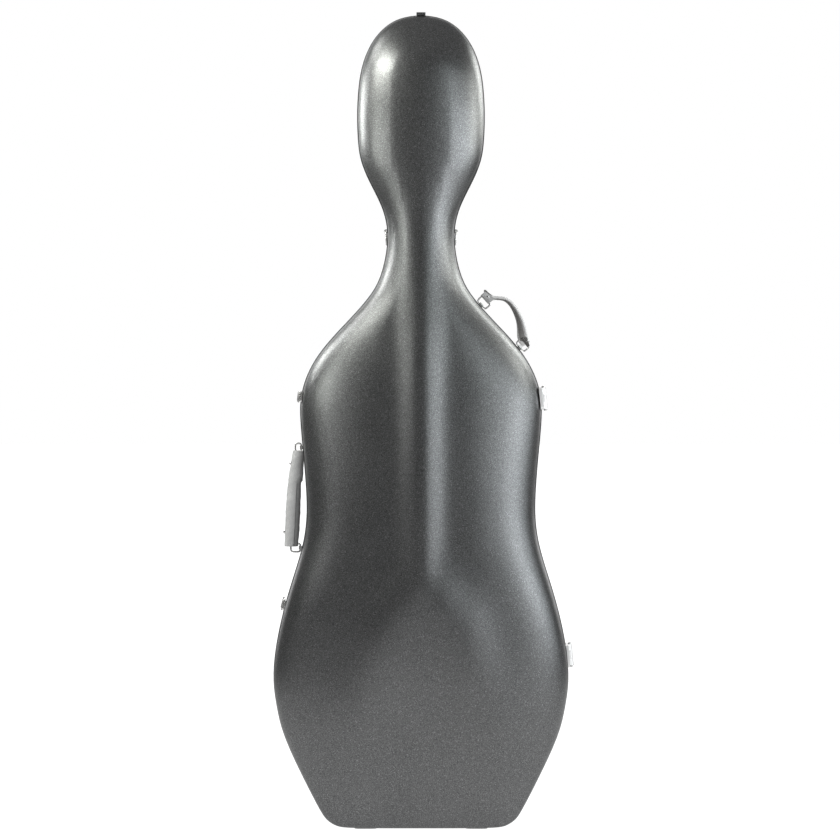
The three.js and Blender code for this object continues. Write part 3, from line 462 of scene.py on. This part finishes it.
# For each kind of fitting, the places of its rivets on its own frame, and their radius
rivetPlaces = {
    "inner_leaf": ([(-3.5, 11, z) for z in (-12, 12)], 2.1),
    "outer_leaf": ([(-3.5, 23, z) for z in (-9, 9)], 2.1),
    "keeper": ([(1.9, 20, z) for z in (-6, 6)], 1.5),
    "handle_bracket": ([(-3.3, y, 0) for y in (-7, 7)], 1.7),
    "strap_bracket": ([(-3.3, y, z) for y in (-6.6, 6.6) for z in (-7.4, 7.4)], 1.8),
    "clip": ([(1.7, 0, z) for z in (-7.6, 7.6)], 1.7),
}


def addRivet(shape, at, radius, frameHere, facing=(1, 0, 0), rise=fittingLook["rivetRise"], rings=10):
    flat = Matrix.Diagonal((rise, 1, 1, 1))
    turn = Vector((1, 0, 0)).rotation_difference(Vector(facing)).to_matrix().to_4x4()
    bmesh.ops.create_uvsphere(
        shape, u_segments=fittingLook["rivetSides"], v_segments=rings, radius=radius,
        matrix=frameHere @ Matrix.Translation(Vector(at)) @ turn @ flat,
    )


def rivetsOf(kind, side=1, height=0):
    spots, radius = rivetPlaces[kind]
    return [((x, y * side, z + height), radius) for x, y, z in spots]


def dressed(nodeName, edge, frameHere=None, rivets=(), change=None, finish="fittings", slotName="fittings"):
    shape = loosened(nodeName)
    if change:
        for vert in shape.verts:
            vert.co = frameHere @ change(frameHere.inverted() @ vert.co)
    rounded(shape, sharpEdges(shape, fittingLook["sharp"][slotName]), edge)
    for at, radius in rivets:
        addRivet(shape, at, radius, frameHere)
    piece = pieceOf(nodeName + "_form", meshFrom(shape, nodeName), finish, bodyOfNode[nodeName])
    even = piece.modifiers.new("even shading", "WEIGHTED_NORMAL")
    even.keep_sharp = True
    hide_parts(nodeName)


def wired(nodeName, radius):
    piece = moulded(nodeName, "fittings", 80, 0)
    swell = piece.modifiers.new("wire size", "DISPLACE")
    swell.strength = radius * fittingLook["swell"] * mm
    swell.mid_level = 0


def slimEars(at):
    # The ears of a latch base leave room for the open lever
    if at.x <= fittingLook["earTop"]:
        return at
    return Vector((at.x, (at.y + pivot[1]) * fittingLook["earShare"] - pivot[1], at.z))


edge, wire = fittingLook["edge"], fittingLook["ringWire"]
for end in ("upper", "lower"):
    here = places[end + "_hinge"]
    for leaf, side in (("lid", -1), ("back", 1)):
        heads = rivetsOf("inner_leaf", side) + rivetsOf("outer_leaf", side)
        name = "%s_hinge_%s_leaf" % (end, leaf)
        dressed(name, fittingLook["leafEdge"], here, heads, finish="satin")
    here = places[end + "_latch"]
    dressed(end + "_latch_base", edge, here, change=slimEars)
    dressed(end + "_latch_keeper", edge, here, rivetsOf("keeper"))
    dressed(end + "_latch_lever", fittingLook["leverEdge"], here)
    wired(end + "_latch_hook", fittingLook["hookWire"])

for end, side in (("top", 1), ("bottom", -1)):
    heads = rivetsOf("handle_bracket", height=side * fittingLook["handleEnd"])
    dressed("side_handle_%s_bracket" % end, edge, places["side_handle"], heads)
    heads = rivetsOf("strap_bracket", height=side * fittingLook["strapEnd"])
    dressed("shoulder_strap_%s_bracket" % end, edge, places["shoulder_strap"], heads)
    wired("side_handle_%s_bail" % end, wire)
    wired("shoulder_strap_%s_ring" % end, wire)

for name in ("left_neck", "right_neck", "left_lower", "right_lower"):
    dressed(name + "_clip", edge, places[name], rivetsOf("clip"))
    wired(name + "_ring", wire)
print("metal fittings")


# Leather pieces, drawn ring by ring along a path on the frame of their handle

def placed(name, shape, frameHere, finish, body):
    bmesh.ops.transform(shape, matrix=frameHere, verts=shape.verts)
    return pieceOf(name, meshFrom(shape, name), finish, body)


def roundOf(i, sides):
    turn = 2 * math.pi * i / sides
    return math.cos(turn), math.sin(turn)


def barPoint(look, i, width):
    # How far across and how deep a point on a flat bar lies, its roundness pushed into the corners
    pairs = zip(roundOf(i, look["sides"]), look["square"])
    wide, deep = (math.copysign(abs(value) ** power, value) for value, power in pairs)
    return wide * width / 2, deep * look["thickness"] / 2


def ringsAlong(sides, count, pointAt, closed=False):
    shape = bmesh.new()
    order = shape.verts.layers.int.new("order")
    ring = bmesh.ops.create_circle(shape, segments=sides, radius=1.0)["verts"]
    for i, vert in enumerate(ring):
        vert[order] = i
        vert.co = pointAt(0, i)
    edges = list(shape.edges)
    ends = [edges]
    for k in range(1, count):
        grown = bmesh.ops.extrude_edge_only(shape, edges=edges)["geom"]
        for vert in grown:
            if isinstance(vert, bmesh.types.BMVert):
                vert.co = pointAt(k, vert[order])
        edges = [e for e in grown if isinstance(e, bmesh.types.BMEdge)]
    ends.append(edges)
    if closed:
        bmesh.ops.bridge_loops(shape, edges=ends[0] + ends[1])
    else:
        for rim in ends:
            bmesh.ops.contextual_create(shape, geom=rim)
    bmesh.ops.recalc_face_normals(shape, faces=shape.faces)
    return shape


def eased(value):
    value = min(max(value, 0.0), 1.0)
    return value * value * (3 - 2 * value)


def between(stations, share):
    # A smooth run through the stations, each a tuple of numbers
    at = min(max(share, 0.0), 1.0) * (len(stations) - 1)
    i = min(int(at), len(stations) - 2)
    t = at - i
    near = [stations[min(max(i + k, 0), len(stations) - 1)] for k in (-1, 0, 1, 2)]
    weights = (
        (-t ** 3 + 2 * t * t - t) / 2, (3 * t ** 3 - 5 * t * t + 2) / 2,
        (-3 * t ** 3 + 4 * t * t + t) / 2, (t ** 3 - t * t) / 2,
    )
    return [sum(w * p[n] for w, p in zip(weights, near)) for n in range(len(near[0]))]


# Side grip: one piece of leather wrapped round the core, its lap open below a fold

gripLook = {
    "high": 78.4, "low": 81.0, "leather": 2.3, "mouth": 6.5, "round": 0.7, "sides": 72, "rowStep": 2.4,
    "lapTurn": 108, "lapFade": 165, "lapEnd": 255, "lapDrop": 2.0, "lapEdge": 0.7,
    "foldHeight": 27.6, "foldSlope": 4.5, "foldSpan": 80, "foldRise": 1.6, "foldStep": 0.8, "foldReach": 6,
    # Waves of the surface: their height, and how they run along the grip and round it
    "waves": [(0.22, 0.21, 0.035), (0.16, 0.47, -0.06)], "calmEnds": 9,
    # Height, reach of the middle and radius, from the bottom up
    "stations": [
        (-81, 14.4, 12.2), (-60, 13.4, 12.8), (-34, 12.4, 13.1), (-7, 11.5, 12.9), (19, 10.3, 12.1),
        (30, 9.2, 11.9), (46, 7.6, 11.4), (62, 6.0, 10.4), (78.4, 4.5, 9.6),
    ],
    # A rivet's radius, the share of it that stands out, and its rings
    "rivetHeights": (57, -57), "rivetTurn": 8, "rivet": (3.0, 0.95, 12),
}


def gripReach(z):
    stations = gripLook["stations"]
    for low, high in zip(stations, stations[1:]):
        if z <= high[0]:
            share = (z - low[0]) / (high[0] - low[0])
            return [a + (b - a) * share for a, b in zip(low[1:], high[1:])]
    return list(stations[-1][1:])


def gripDrop(z, turn):
    look = gripLook
    if not look["lapTurn"] < turn < look["lapEnd"]:
        return 0.0
    fold = look["foldHeight"] - look["foldSlope"] * (180 - turn) / look["foldSpan"]
    across = 1 - eased((turn - look["lapFade"]) / (look["lapEnd"] - look["lapFade"]))
    return look["lapDrop"] * across * eased((fold - z) / look["foldRise"])


def gripForm():
    look = gripLook
    high, low, inner = look["high"], -look["low"], look["leather"]
    rows = [low + look["round"]]
    while rows[-1] < high - look["round"] - 1:
        near = abs(rows[-1] - look["foldHeight"] + 2) < look["foldReach"]
        step = look["foldStep"] if near else look["rowStep"]
        rows.append(min(rows[-1] + step, high - look["round"]))
    stations = [(low + look["mouth"], inner), (low, inner), (low, look["round"])]
    stations += [(z, 0.0) for z in rows]
    stations += [(high, look["round"]), (high, inner), (high - look["mouth"], inner)]
    step = 360 / look["sides"]
    turns = [i * step for i in range(look["sides"])]
    nearLap = min(range(look["sides"]), key=lambda i: abs(turns[i] - look["lapTurn"]))
    turns[nearLap] = look["lapTurn"] - look["lapEdge"]
    turns[nearLap + 1] = look["lapTurn"] + look["lapEdge"]

    def pointAt(k, i):
        z, inset = stations[k]
        reach, radius = gripReach(z)
        turn = turns[i]
        swell = sum(size * math.sin(z * along + turn * about) for size, along, about in look["waves"])
        calm = eased(min(high - z, z - low) / look["calmEnds"])
        r = radius - inset + (0 if inset >= inner else swell * calm - gripDrop(z, turn))
        return Vector((reach + r * math.cos(math.radians(turn)), r * math.sin(math.radians(turn)), z))

    return ringsAlong(look["sides"], len(stations), pointAt)


gripPlace = places["side_handle"]
grip = placed("side_grip_leather", gripForm(), gripPlace, "leather", "side_handle")
subdivided(grip)
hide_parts("side_handle_grip")

gripRivets = bmesh.new()
turn = math.radians(gripLook["rivetTurn"])
facing = (math.cos(turn), math.sin(turn), 0)
for z in gripLook["rivetHeights"]:
    reach, radius = gripReach(z)
    at = (reach + radius * facing[0], radius * facing[1], z)
    size, rise, rings = gripLook["rivet"]
    addRivet(gripRivets, at, size, Matrix(), facing, rise, rings)
placed("side_grip_rivets", gripRivets, gripPlace, "fittings", "side_handle")
print("side grip")


# Stitches: short turned threads laid along a seam

stitchLook = {"length": 1.3, "radius": 0.34, "sides": 6}


def addStitch(shape, at, along, outwards):
    look = stitchLook
    along = Vector(along).normalized()
    side = Vector(outwards).cross(along).normalized()
    turn = Matrix((along, side, along.cross(side))).transposed().to_4x4()
    size = Matrix.Diagonal((look["length"], look["radius"], look["radius"], 1))
    bmesh.ops.create_uvsphere(
        shape, u_segments=look["sides"], v_segments=look["sides"], radius=1.0,
        matrix=Matrix.Translation(Vector(at)) @ turn @ size @ Matrix.Rotation(math.pi / 2, 4, "Y"),
    )


def addSeams(shape, centre, heading, outward, seam, lift):
    # One stitch on each side and face of a band
    for at in (centre + seam + lift, centre + seam - lift, centre - seam + lift, centre - seam - lift):
        addStitch(shape, at, heading, outward)


# Shoulder strap: a padded band that turns from the rings' plane to edge-on and back

strapLook = {
    "sides": 28, "rings": 84, "thickness": 4.6, "edgeGroove": 0.4, "seamIn": 2.4, "stitchStep": 3.4,
    "seamFrom": 0.07, "seamTo": 0.94, "seamDepth": 0.47, "square": (0.28, 0.62),
    # Reach out, height along the edge, turn of the band in degrees, width
    "stations": [
        (15.5, 51.5, -88, 15), (18.5, 47.5, -70, 12), (22.6, 43, -22, 11), (29, 37, -6, 13.5),
        (35.4, 29, -8, 17), (38, 19, -13, 19), (37.4, 8.5, -18, 19), (34.6, -3.5, -26, 19),
        (30, -15.5, -34, 19), (22.8, -27.5, -48, 19), (16, -37, -66, 18.5), (13, -44, -80, 18),
        (11.6, -51, -88, 16),
    ],
}


def strapFrameAt(share):
    reach, along, turn, width = between(strapLook["stations"], share)
    before = between(strapLook["stations"], share - 0.004)
    after = between(strapLook["stations"], share + 0.004)
    heading = Vector((after[0] - before[0], 0, after[1] - before[1])).normalized()
    outward = Vector((-heading.z, 0, heading.x))
    turned = math.radians(turn)
    across = Vector((0, 1, 0)) * math.cos(turned) + outward * math.sin(turned)
    return Vector((reach, 0, along)), heading, across, heading.cross(across), width


def strapForm():
    look = strapLook

    def pointAt(k, i):
        centre, heading, across, face, width = strapFrameAt(k / (look["rings"] - 1))
        wide, deep = barPoint(look, i, width)
        if i % (look["sides"] // 2) == 0:
            wide *= 1 - look["edgeGroove"] / (width / 2)
        return centre + across * wide + face * deep

    return ringsAlong(look["sides"], look["rings"], pointAt)


def strapPiece(name, shape, finish):
    name = "shoulder_strap_" + name
    return placed(name, shape, places["shoulder_strap"], finish, "shoulder_handle")


strap = strapPiece("leather", strapForm(), "pale")
subdivided(strap)
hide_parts("shoulder_strap")

# A lining on the inner face with its ribs, darker as painted shade, and a dark band at the end of the top fold as
# painted shade

shadedInnerLook = {
    "width": 0.56, "thickness": 1.3, "rib": 0.75, "from": 0.2, "to": 0.93, "sides": 32, "rings": 70,
    "square": (0.5, 0.5), "endShare": 0.35, "endRings": 4,
}


def shadedInnerForm():
    look = shadedInnerLook

    def pointAt(k, i):
        share = look["from"] + (look["to"] - look["from"]) * k / (look["rings"] - 1)
        centre, heading, across, face, width = strapFrameAt(share)
        end = eased(min(k, look["rings"] - 1 - k) / look["endRings"])
        whole = width * look["width"]
        wide, deep = barPoint(look, i, whole)
        wide *= look["endShare"] + (1 - look["endShare"]) * end
        if deep > 0:
            deep *= 1 + look["rib"] * math.cos(4 * math.pi * wide / whole) ** 2 / look["thickness"]
        return centre - face * (strapLook["thickness"] / 2 + deep * end) + across * wide

    return ringsAlong(look["sides"], look["rings"], pointAt)


# The inner face's darker leather is painted shade
strapPiece("lining", shadedInnerForm(), "inside")

edgeLook = {
    "line": [(20.2, 62.2, 1.6), (20.8, 59.6, 2.1), (21.9, 54, 1.3), (23.3, 47, 1.4), (24.0, 42, 1.5)],
    "sides": 14, "rings": 24, "halfWidth": 4.4,
}


# A dark band along the outer edge of the top fold: painted shade for the shadow on the thick leather edge
def foldShadeBand():
    look = edgeLook
    last = look["rings"] - 1

    def pointAt(k, i):
        x, z, radius = between(look["line"], k / last)
        ahead, before = between(look["line"], (k + 0.4) / last), between(look["line"], (k - 0.4) / last)
        heading = Vector((ahead[0] - before[0], 0, ahead[1] - before[1])).normalized()
        c, s = roundOf(i, look["sides"])
        wide = Vector((0, 1, 0)) * c * look["halfWidth"]
        return Vector((x, 0, z)) + wide + heading.cross(Vector((0, 1, 0))) * s * radius

    return ringsAlong(look["sides"], look["rings"], pointAt)


strapPiece("fold_edge", foldShadeBand(), "strap")

strapStitches = bmesh.new()
share = strapLook["seamFrom"]
while share < strapLook["seamTo"]:
    centre, heading, across, face, width = strapFrameAt(share)
    seam = across * (width / 2 - strapLook["seamIn"])
    lift = face * strapLook["thickness"] * strapLook["seamDepth"]
    addSeams(strapStitches, centre, heading, face, seam, lift)
    ahead = strapFrameAt(share + 0.01)[0]
    share += 0.01 * strapLook["stitchStep"] / (ahead - centre).length

# The folded end that holds each ring, with its rivet

keeperLook = {
    "thickness": 1.7, "sides": 20, "rings": 40, "square": (0.25, 0.5), "bend": 10.6,
    # Reach out and place across, from one side round the ring to the other
    "stations": [
        (22, 3.3), (18.5, 3.3), (16, 3.1), (13.5, 2.8), (11.4, 1.9), (10.6, 0), (11.4, -1.9), (13.5, -2.8),
        (16, -3.1), (18.5, -3.3), (22, -3.3),
    ],
    # Middle height, width, and how far the fold reaches out at its upper and its lower edge
    "ends": {"top": (50.2, 19.5, 0.86, 1.12), "bottom": (-47.2, 19, 1.05, 0.3)},
    "finishes": {"top": "leather", "bottom": "strap"},
    "stitches": (-7, -3.5, 0, 3.5, 7), "stitchAt": (14.6, 3.813), "rivetAt": (17.6, 4.1), "rivet": 2.2,
}


def keeperForm(height, width, highReach, lowReach):
    look = keeperLook

    def pointAt(k, i):
        share = k / (look["rings"] - 1)
        x, y = between(look["stations"], share)
        before, after = between(look["stations"], share - 0.01), between(look["stations"], share + 0.01)
        heading = Vector((after[0] - before[0], after[1] - before[1], 0)).normalized()
        outward = Vector((-heading.y, heading.x, 0))
        wide, deep = barPoint(look, i, width)
        reach = highReach + (lowReach - highReach) * (0.5 - wide / width)
        return Vector((look["bend"] + (x - look["bend"]) * reach, y, height + wide)) + outward * deep

    return ringsAlong(look["sides"], look["rings"], pointAt)


strapRivets = bmesh.new()
for end, (height, *rest) in keeperLook["ends"].items():
    fold = strapPiece(end + "_fold", keeperForm(height, *rest), keeperLook["finishes"][end])
    subdivided(fold)
    for side in (-1, 1):
        reach, out = keeperLook["stitchAt"]
        for z in keeperLook["stitches"]:
            addStitch(strapStitches, (reach, side * out, height + z), (0, 0, 1), (0, 1, 0))
        reach, out = keeperLook["rivetAt"]
        addRivet(strapRivets, (reach, side * out, height), keeperLook["rivet"], Matrix(), (0, side, 0))
strapPiece("rivets", strapRivets, "fittings")
strapPiece("stitches", strapStitches, "thread")
print("shoulder strap")


# Neck band inside, over the cradle

bandLook = {
    "centre": (0, 0.0102, 0.956), "halfWidth": 33.8, "pull": 17, "rise": 41.5, "width": 24, "thickness": 2.4,
    "sides": 24, "rings": 56, "seamIn": 2.2, "stitchStep": 3.2, "seamFrom": 0.05, "seamTo": 0.95,
    "square": (0.25, 0.6), "studAt": 0.86, "stud": 4.2, "studOut": 1.1,
}


def bandPoint(share):
    look = bandLook
    t = min(max(share, 0.0), 1.0)
    x = (1 - t) ** 2 * look["halfWidth"] + 2 * t * (1 - t) * look["pull"] - t * t * look["halfWidth"]
    return Vector((x, -2 * t * (1 - t) * look["rise"], 0))


def bandFrame(share):
    heading = (bandPoint(min(share + 0.01, 1)) - bandPoint(max(share - 0.01, 0))).normalized()
    return bandPoint(share), heading, Vector((heading.y, -heading.x, 0))


def bandForm():
    look = bandLook

    def pointAt(k, i):
        centre, heading, outward = bandFrame(k / (look["rings"] - 1))
        wide, deep = barPoint(look, i, look["width"])
        return centre + outward * deep + Vector((0, 0, wide))

    return ringsAlong(look["sides"], look["rings"], pointAt)


bandPlace = Matrix.Translation(bandLook["centre"]) @ Matrix.Scale(mm, 4)
band = placed("neck_band_leather", bandForm(), bandPlace, "strap", "case_back")
subdivided(band)
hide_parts("neck_band")
bandStitches = bmesh.new()
share = bandLook["seamFrom"]
while share < bandLook["seamTo"]:
    centre, heading, outward = bandFrame(share)
    seam = Vector((0, 0, bandLook["width"] / 2 - bandLook["seamIn"]))
    addSeams(bandStitches, centre, heading, outward, seam, outward * bandLook["thickness"] * 0.5)
    share += 0.01 * bandLook["stitchStep"] / (bandPoint(share + 0.01) - centre).length
placed("neck_band_stitches", bandStitches, bandPlace, "thread", "case_back")
stud = bmesh.new()
centre, heading, outward = bandFrame(bandLook["studAt"])
if outward.y > 0:
    outward = -outward
addRivet(stud, centre + outward * bandLook["studOut"], bandLook["stud"], Matrix(), outward)
placed("neck_band_stud", stud, bandPlace, "fittings", "case_back")
print("neck band")


# Wooden pieces

for nodeName, edge in (("endpin_block", 1.2), ("left_bow_toggle", 0.8), ("right_bow_toggle", 0.8)):
    dressed(nodeName, edge, finish="wood", slotName="wood")


# Padded pieces: the CAD form as an even net, its cover blown up as cloth and held where it is glued on

padLook = {
    "frames": 20, "pressure": 6.0, "tension": 22.0, "bending": 0.4, "start": 1.2, "mass": 0.05,
    "pipeSides": 12, "pipeStep": 2.2,
    # Wall side, net, furthest bulge, fill, height of the piping and its radius
    "pieces": {
        "lower_left_cushion": ((-1, 0, 0), 4.0, 4.5, 0.7, 0.6, 1.7),
        "lower_right_cushion": ((1, 0, 0), 4.0, 4.5, 0.7, 0.6, 1.7),
        "upper_left_cushion": ((-1, 0, 0), 3.6, 4.0, 0.7, 0.6, 1.6),
        "upper_right_cushion": ((1, 0, 0), 3.6, 4.0, 0.7, 0.6, 1.6),
        "head_cushion": ((0, 1, 0), 4.0, 4.5, 0.6, 0.58, 1.7),
        "neck_cradle": ((0, 1, 0), 3.2, 2.4, 0.8, 0, 0),
        "left_tip_pocket": ((0, -1, 0), 1.7, 0.9, 0.8, 0, 0),
        "right_tip_pocket": ((0, -1, 0), 1.7, 0.9, 0.8, 0, 0),
        "left_frog_rest": ((0, -1, 0), 2.2, 1.6, 0.8, 0, 0),
        "right_frog_rest": ((0, -1, 0), 2.2, 1.6, 0.8, 0, 0),
    },
}


def settled(piece):
    # The mesh as its modifiers leave it
    depsgraph = bpy.context.evaluated_depsgraph_get()
    mesh = bpy.data.meshes.new_from_object(piece.evaluated_get(depsgraph), depsgraph=depsgraph)
    piece.modifiers.clear()
    piece.data = mesh


def padOf(nodeName):
    wall, net = padLook["pieces"][nodeName][:2]
    body = bodyOfNode[nodeName]
    piece = pieceOf(nodeName + "_cover", meshFrom(loosened(nodeName), nodeName), "plush", body)
    grid = piece.modifiers.new("net", "REMESH")
    grid.mode = "VOXEL"
    grid.voxel_size = net * mm
    grid.use_smooth_shade = True
    soften = piece.modifiers.new("soften", "SMOOTH")
    soften.factor = 0.5
    soften.iterations = 3
    settled(piece)
    held = piece.vertex_groups.new(name="held")
    for vert in piece.data.vertices:
        if vert.normal.dot(Vector(wall)) > 0.6:
            held.add([vert.index], 1.0, "REPLACE")
        else:
            vert.co -= vert.normal * min(padLook["start"], net * 0.4) * mm
    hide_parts(nodeName)
    return piece


def covered(piece):
    look = padLook
    cloth = piece.modifiers.new("cover", "CLOTH")
    settings = cloth.settings
    settings.quality = 6
    settings.mass = look["mass"]
    settings.tension_stiffness = look["tension"]
    settings.compression_stiffness = look["tension"]
    settings.shear_stiffness = look["tension"] * 0.4
    settings.bending_stiffness = look["bending"]
    settings.use_pressure = True
    settings.uniform_pressure_force = look["pressure"]
    settings.effector_weights.gravity = 0
    settings.vertex_group_mass = "held"
    cloth.collision_settings.use_collision = False
    cloth.point_cache.frame_start = 1
    cloth.point_cache.frame_end = look["frames"]


def loopAround(piece, point, normal):
    # The closed line where a plane cuts the piece
    shape = bmesh.new()
    shape.from_mesh(piece.data)
    cut = bmesh.ops.bisect_plane(
        shape, geom=shape.verts[:] + shape.edges[:] + shape.faces[:], dist=1e-6, plane_co=point,
        plane_no=normal, clear_inner=True, clear_outer=True,
    )
    edges = [e for e in cut["geom_cut"] if isinstance(e, bmesh.types.BMEdge)]
    beside = {}
    for e in edges:
        for one, other in (e.verts, reversed(e.verts)):
            beside.setdefault(one, []).append(other)
    first = edges[0].verts[0]
    line, last = [first], None
    while True:
        ahead = [v for v in beside[line[-1]] if v is not last]
        last = line[-1]
        if not ahead or ahead[0] is first:
            break
        line.append(ahead[0])
    points = [v.co.copy() for v in line]
    shape.free()
    return points


def evenly(points, step):
    # The same closed line with points a step apart, smoothed
    closed = points + points[:1]
    reach = [0.0]
    for a, b in zip(closed, closed[1:]):
        reach.append(reach[-1] + (b - a).length)
    count = max(int(reach[-1] / step), 12)
    made, k = [], 0
    for i in range(count):
        at = reach[-1] * i / count
        while reach[k + 1] < at:
            k += 1
        share = (at - reach[k]) / max(reach[k + 1] - reach[k], 1e-9)
        made.append(closed[k].lerp(closed[k + 1], share))
    for _ in range(4):
        made = [(made[i - 1] + made[i] * 2 + made[(i + 1) % count]) / 4 for i in range(count)]
    return made


def ringTube(points, normal, radius, sides):
    count = len(points)
    normal = Vector(normal)

    def pointAt(k, i):
        heading = (points[(k + 1) % count] - points[k - 1]).normalized()
        side = heading.cross(normal).normalized()
        c, s = roundOf(i, sides)
        return points[k] + (normal * c + side * s) * radius

    return ringsAlong(sides, count, pointAt, closed=True)


pads = {nodeName: padOf(nodeName) for nodeName in padLook["pieces"]}
starts = {}
for nodeName, piece in pads.items():
    starts[nodeName] = [vert.co.copy() for vert in piece.data.vertices]
    covered(piece)
for step in range(1, padLook["frames"] + 1):
    scene.frame_set(step)
for nodeName, piece in pads.items():
    settled(piece)
    cap = padLook["pieces"][nodeName][2] * mm
    for vert, start in zip(piece.data.vertices, starts[nodeName]):
        move = vert.co - start
        if move.length > cap:
            vert.co = start + move * (cap / move.length)
scene.frame_set(1)
for nodeName, piece in pads.items():
    wall, net, cap, fill, height, radius = padLook["pieces"][nodeName]
    if radius:
        low, high = (Vector(c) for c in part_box(nodeName))
        inwards = -Vector(wall)
        base = high if sum(wall) > 0 else low
        deep = abs((high - low).dot(inwards))
        line = evenly(loopAround(piece, base + inwards * deep * height, wall), padLook["pipeStep"] * mm)
        mesh = meshFrom(ringTube(line, wall, radius * mm, padLook["pipeSides"]), "piping")
        subdivided(pieceOf(nodeName + "_piping", mesh, "strap", bodyOfNode[nodeName]))
    subdivided(piece)
print("padded pieces")


# Studio: white floor and backdrop, dim in front and bright behind in mirrored views, and twelve softboxes

studio = {
    "glow": 1.3, "floorTone": 0.82, "floorShare": 0.16, "floorHalf": 60,
    # the pool is a painted pool of light on the floor, seen only in reflections
    "poolAt": 0.6, "poolIn": 1.6, "poolOut": 3.0, "poolBright": 0.62, "poolDim": 0.02, "poolReach": 4,
    "front": 0.045, "flank": 0.09, "behind": 1.8, "above": 0.18, "fill": 1.0,
}


def paleFloor():
    material, f = newFinish("pale_floor")
    ray = f.add("ShaderNodeLightPath", output="Is Camera Ray")
    gloss = Value(f, ray.socket.node.outputs["Is Glossy Ray"])
    through = Value(f, ray.socket.node.outputs["Is Transmission Ray"])
    # In reflections the floor glows with a painted pool of light round the case, bright near it and dim further
    # off
    around = f.moved(f.place(), at=(-studio["poolAt"], 0, 0))
    away = f.add("ShaderNodeVectorMath", {"operation": "LENGTH"}, {0: around}, "Value")
    reach = studio["poolReach"]
    pool = f.ramp(
        away / reach, (studio["poolIn"] / reach, studio["poolBright"]),
        (studio["poolOut"] / reach, studio["poolDim"]),
    )
    seen = f.mixed(grey(studio["glow"]), pool, gloss)
    matt = f.add("ShaderNodeBsdfDiffuse", {}, {"Color": grey(studio["floorTone"])})
    glow = f.add("ShaderNodeEmission", {}, {"Color": seen, "Strength": 1.0})
    share = (ray + gloss + through) * (1 - studio["floorShare"])
    both = f.add("ShaderNodeMixShader", {}, {0: share, 1: matt, 2: glow})
    f.add("ShaderNodeOutputMaterial", {}, {"Surface": both})
    return material


floorShape = bmesh.new()
bmesh.ops.create_grid(floorShape, x_segments=2, y_segments=2, size=studio["floorHalf"])
floorMesh = meshFrom(floorShape, "floor", False)
floor = bpy.data.objects.new("floor", floorMesh)
floorMesh.materials.append(paleFloor())
scene.collection.objects.link(floor)


def studioAir():
    world = bpy.data.worlds.new("studio_air")
    world.use_nodes = True
    scene.world = world
    f = Finish(world.node_tree)
    ray = f.add("ShaderNodeLightPath", output="Is Camera Ray")
    gloss = Value(f, ray.socket.node.outputs["Is Glossy Ray"])
    direction = f.add("ShaderNodeTexCoord", output="Generated")
    parts = f.add("ShaderNodeSeparateXYZ", {}, {0: direction})
    depth = Value(f, parts.socket.node.outputs["Y"])
    up = Value(f, parts.socket.node.outputs["Z"])
    around = f.ramp(
        depth * 0.5 + 0.5, (0.5, studio["front"]), (0.88, studio["flank"]), (0.96, studio["behind"]),
    )
    mirrored = f.mixed(around, grey(studio["above"]), f.ramp(up, (0.3, 0.0), (0.8, 1.0)))
    unseen = f.mixed(grey(studio["fill"]), mirrored, gloss)
    colour = f.mixed(unseen, grey(1.0), ray)
    shade = f.add("ShaderNodeBackground", {}, {"Color": colour, "Strength": 1.0})
    f.add("ShaderNodeOutputWorld", {}, {"Surface": shade})


studioAir()


def softLight(name, at, towards, size, power, tint):
    data = bpy.data.lights.new(name, "AREA")
    data.shape = "RECTANGLE"
    data.size, data.size_y = size
    data.energy = power
    data.color = tint
    lamp = bpy.data.objects.new(name, data)
    lamp.location = at
    lamp.rotation_euler = (Vector(towards) - Vector(at)).to_track_quat("-Z", "Y").to_euler()
    scene.collection.objects.link(lamp)


# Each lamp: place, height at which it faces the case, size, watts and tint
softboxes = {
    "high_left": ((-0.606, -0.35, 1.55), 1.15, (0.22, 0.22), 3.78, (0.98, 1, 0.93)),
    "top_left": ((-1.182, 0.208, 2.1), 0.9, (0.4, 0.4), 4.67, (0.98, 1, 0.96)),
    "behind_left": ((-0.94, 0.342, 1.3), 1.15, (0.32, 0.32), 4.48, (0.98, 1, 0.97)),
    "near_left": ((-0.823, -0.475, 1.05), 1.05, (0.28, 0.28), 1.45, (0.96, 1, 0.93)),
    "front_left": ((-1.149, -0.964, 1.0), 1.0, (0.42, 0.36), 0.7, (1, 0.99, 1)),
    "near_right": ((0.996, -0.087, 1.25), 1.15, (0.34, 0.34), 1.98, (0.98, 1, 0.94)),
    "behind_right": ((1.1, 0.77, 1.55), 1.0, (0.6, 0.6), 7.0, (0.98, 1, 0.96)),
    "side_right": ((1.989, -0.209, 0.95), 0.95, (0.7, 0.62), 3.25, (0.9, 0.97, 1)),
    "right": ((1.766, -0.939, 0.95), 0.95, (0.7, 0.62), 7.12, (0.92, 0.97, 1)),
    "front_right_high": ((1.286, -1.532, 1.5), 1.1, (0.7, 0.62), 3.0, (0.91, 1, 1)),
    "front_right_low": ((1.286, -1.532, 0.4), 0.4, (0.7, 0.62), 2.06, (0.94, 0.98, 1)),
    "ridge_right": ((1.486, -1.34, 0.93), 0.78, (0.5, 0.5), 2.24, (0.93, 0.97, 1)),
}
for name, (at, height, size, power, tint) in softboxes.items():
    softLight(name, at, (0, 0, height), size, power, tint)
print("studio")
